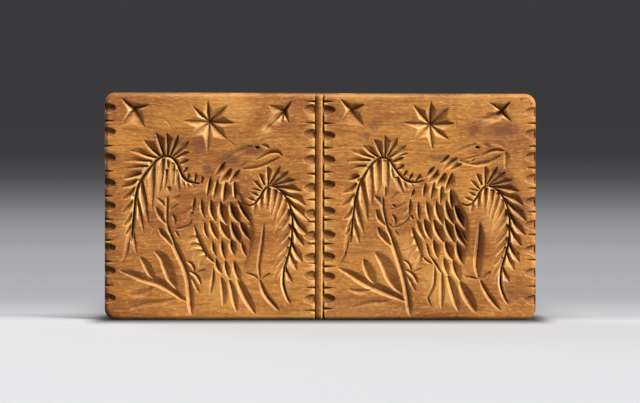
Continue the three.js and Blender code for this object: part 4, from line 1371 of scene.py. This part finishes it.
# %% Sweep
RUN_START, RUN_END = -1.6, 3.2  # the part of the profile that the ramp colours, in metres
FLAT_BACK, BEND, WALL_TOP, SWEEP_HALF = 1.7, 0.9, 3.0, 3.0
FLOOR_ROWS, BEND_ROWS, SWEEP_COLUMNS = 75, 61, 45
angles = np.linspace(0, np.pi / 2, BEND_ROWS)[1:]
profile = np.vstack([
    np.column_stack([np.linspace(RUN_START, FLAT_BACK, FLOOR_ROWS), np.zeros(FLOOR_ROWS)]),
    np.column_stack([FLAT_BACK + BEND * np.sin(angles), BEND * (1 - np.cos(angles))]),
    [[FLAT_BACK + BEND, WALL_TOP]],
])
across_x = np.linspace(-SWEEP_HALF, SWEEP_HALF, SWEEP_COLUMNS)
sweep_x, sweep_row = np.meshgrid(across_x, np.arange(len(profile)))
sweep_points = np.column_stack([sweep_x.ravel(), profile[sweep_row.ravel()]])
cells = np.arange(sweep_x.size).reshape(sweep_x.shape)
sweep_mesh = bpy.data.meshes.new("floor_sweep")
sweep_mesh.from_pydata(sweep_points.tolist(), [], grid_quads(cells).tolist())
sweep_mesh.update()
sweep_mesh.shade_smooth()
floor = bpy.data.objects.new("floor_sweep", sweep_mesh)
bpy.context.scene.collection.objects.link(floor)
run = np.r_[0, np.cumsum(np.hypot(*np.diff(profile, axis=0).T))] + RUN_START
layer = sweep_mesh.attributes.new("run", "FLOAT", "POINT")
layer.data.foreach_set("value", run[sweep_row.ravel()].astype(np.float32))
print("sweep of", round(float(run[-1] - run[0]), 2), "m")

# %% [markdown]
# ## The sweep's painted light
# Each shade stands at its place along the sweep, in metres behind the board. The greys are painted
# light falling off over the sweep: the floor is palest at the board's foot and the wall behind is
# dark grey. The floor in front is painted darker again, because views from behind look at it in
# full light.

# %% Sweep's ramp
# Painted light: greys along the sweep, palest at the board's foot and dark up the wall.
SWEEP_PAINTED_LIGHT = [  # metres behind the board, and a grey from 0 to 255
    (-1.6, 80), (-0.9, 96), (-0.6, 132), (-0.42, 184), (-0.2, 184), (-0.05, 184), (0.0, 190),
    (0.05, 206), (0.085, 199), (0.13, 190), (0.18, 183), (0.28, 178), (0.593, 173), (1.279, 168),
    (1.835, 155), (1.942, 141), (2.011, 120), (2.073, 98), (2.131, 78), (2.2, 63), (2.305, 58),
    (2.504, 58), (3.091, 62),
]
paper, tree, shader = new_material("grey_sweep")
shader.inputs["Roughness"].default_value = 0.9
along = mask(tree, "run")
share = maths("DIVIDE", minus(along, RUN_START), RUN_END - RUN_START)
ramp = node(tree, "ShaderNodeValToRGB", Fac=share)
stops = ramp.color_ramp.elements
while len(stops) < len(SWEEP_PAINTED_LIGHT):
    stops.new(0.5)
for stop, (at, shade) in zip(stops, SWEEP_PAINTED_LIGHT):
    stop.position = (at - RUN_START) / (RUN_END - RUN_START)
for stop, (at, shade) in zip(stops, SWEEP_PAINTED_LIGHT):
    stop.color = srgb(shade, shade, min(255, shade + 2))
print(len(SWEEP_PAINTED_LIGHT), "shades along the sweep")

# %% [markdown]
# ## The shadow at the board's foot
# Behind the board the camera sees the ramp's colour as it is, through an Emission shader, so that
# the lamps can be set for the board alone. A shadow can't fall on such a floor, so it is painted: a
# thin dark seam round the foot, and a soft dark band behind the board that dies away. Other rays see
# a plain grey, so that the floor doesn't throw too much light back at the board.

# %% Shadow at the foot
FOOT_X, FOOT_Y = 0.106, 0.0105  # half the length and half the thickness of the foot, in metres
SEAM_WIDTH, SEAM_DARKEST = 0.04, 0.08
BAND_LEFT, BAND_RIGHT = 0.5, 0.36  # how dark the band is behind either end of the board
BAND_ENDS, BAND_START, GLOWING = (-0.1, 0.1), (-0.02, 0.01), (-0.03, 0.05)
SEAM_STRETCH = 3.0  # the seam is this much narrower past the ends than along the sides
SIDE_FADE = 0.042  # the band behind the board fades out over this width past its ends
EYE_AWAY = 0.9  # about how far the camera stands in front of the board
FAINTEST, FAINT_RANGE = 0.36, 0.58  # the nearness to the eye at which the band is gone, and its span
BOUNCE = srgb(95, 95, 95)
spot = node(tree, "ShaderNodeTexCoord").outputs["Object"]
spot = node(tree, "ShaderNodeSeparateXYZ", Vector=spot).outputs
beside, before = (
    maths("MAXIMUM", minus(maths("ABSOLUTE", spot[axis]), half), 0.0)
    for axis, half in (("X", FOOT_X), ("Y", FOOT_Y))
)
away = plus(maths("POWER", times(beside, SEAM_STRETCH), 2.0), times(before, before))
seam = spread(maths("SQRT", away), 0.0, SEAM_WIDTH, SEAM_DARKEST, 1.0)
near = minus(1.0, times(beside, 1 / SIDE_FADE), clamp=True)
soft_dark = times(times(near, near), spread(spot["X"], *BAND_ENDS, BAND_LEFT, BAND_RIGHT))
nearness = maths("DIVIDE", 1.0, plus(spot["Y"], EYE_AWAY))
dying = times(minus(nearness, FAINTEST), 1 / FAINT_RANGE, clamp=True)
behind = times(spread(spot["Y"], *BAND_START), times(dying, dying))
shadow = times(seam, minus(1.0, times(soft_dark, behind)))
shade = node(tree, "ShaderNodeVectorMath", operation="SCALE", Scale=shadow)
feed(shade.inputs[0], ramp.outputs["Color"])
seen = node(tree, "ShaderNodeLightPath").outputs["Is Camera Ray"]
feed(shader.inputs["Base Color"], blend(seen, BOUNCE, shade.outputs[0]))
glow = node(tree, "ShaderNodeEmission", Color=shade.outputs[0])
mix = node(tree, "ShaderNodeMixShader", Fac=times(spread(along, *GLOWING), seen))
feed(mix.inputs[1], shader.outputs[0])
feed(mix.inputs[2], glow.outputs[0])
feed(tree.nodes["Material Output"].inputs["Surface"], mix.outputs[0])
sweep_mesh.materials.append(paper)
print(paper.name, "has", len(tree.nodes), "nodes")

# %% [markdown]
# ## The camera
# The photograph was taken straight from the front with a long lens, since none of the board's sides
# shows. The camera's distance follows from the width that the view has at the board's face.

# %% Camera
VIEW_WIDTH = 0.320
LENS, SENSOR = 100.0, 36.0
CAMERA_X, CAMERA_HEIGHT = -0.0001, 0.05925
DISTANCE = LENS / SENSOR * VIEW_WIDTH
camera_data = bpy.data.cameras.new("camera")
camera_data.lens = LENS
camera_data.sensor_width = SENSOR
camera = bpy.data.objects.new("camera", camera_data)
camera.location = (CAMERA_X, low.y - DISTANCE, CAMERA_HEIGHT)
camera.rotation_euler = (math.pi / 2, 0, 0)
bpy.context.scene.collection.objects.link(camera)
bpy.context.scene.camera = camera
print("camera", round(DISTANCE, 3), "m away")

# %% [markdown]
# ## Raking light
# Carving shows only in light that grazes it. A long softbox stands far off at the upper right, low
# over the face, so that both panels get the same light. A weak one hangs above the board, and
# another weak one behind it keeps the plain back from going black.

# %% Lamps
from mathutils import Matrix, Vector

RISE = math.radians(27)  # how high over the face the key light stands
AWAY = 6.0
MIDDLE_HEIGHT = 0.057  # the lamps aim at the middle of the face
WORLD_STRENGTH = 0.03


def softbox(name, position, aim, long_side, size, power):
    """An area lamp at a place, facing an aim, with its longer side along a direction."""
    data = bpy.data.lights.new(name, "AREA")
    data.shape = "RECTANGLE"
    data.size, data.size_y = size
    data.energy = power
    made = bpy.data.objects.new(name, data)
    back = (position - aim).normalized()
    wide = Vector(long_side)
    wide = (wide - wide.dot(back) * back).normalized()
    turned = Matrix((wide, back.cross(wide), back)).transposed()
    made.matrix_world = Matrix.Translation(position) @ turned.to_4x4()
    bpy.context.scene.collection.objects.link(made)


centre = Vector((0, low.y, MIDDLE_HEIGHT))
grazing = Vector((UPPER[0] * math.cos(RISE), -math.sin(RISE), UPPER[1] * math.cos(RISE)))
SOFTBOXES = (  # name, place, direction of the long side, size in metres, power in watts
    ("key", centre + grazing * AWAY, (-0.6, 0, 0.8), (4.5, 1.05), 710),
    ("top", Vector((-0.35, -0.3, 1.1)), (1, 0, 0), (1.0, 0.7), 8),
    ("rear", Vector((-1.0, 1.3, 0.9)), (1, 0, 0), (1.0, 1.0), 10),
)
for name, position, long_side, size, power in SOFTBOXES:
    softbox(name, position, centre, long_side, size, power)
world = bpy.data.worlds.new("world")
bpy.context.scene.world = world
world.use_nodes = True
background = world.node_tree.nodes["Background"]
background.inputs["Color"].default_value = (1, 1, 1, 1)
background.inputs["Strength"].default_value = WORLD_STRENGTH
bpy.context.scene.view_settings.view_transform = "Standard"
print("key light", AWAY, "m away")
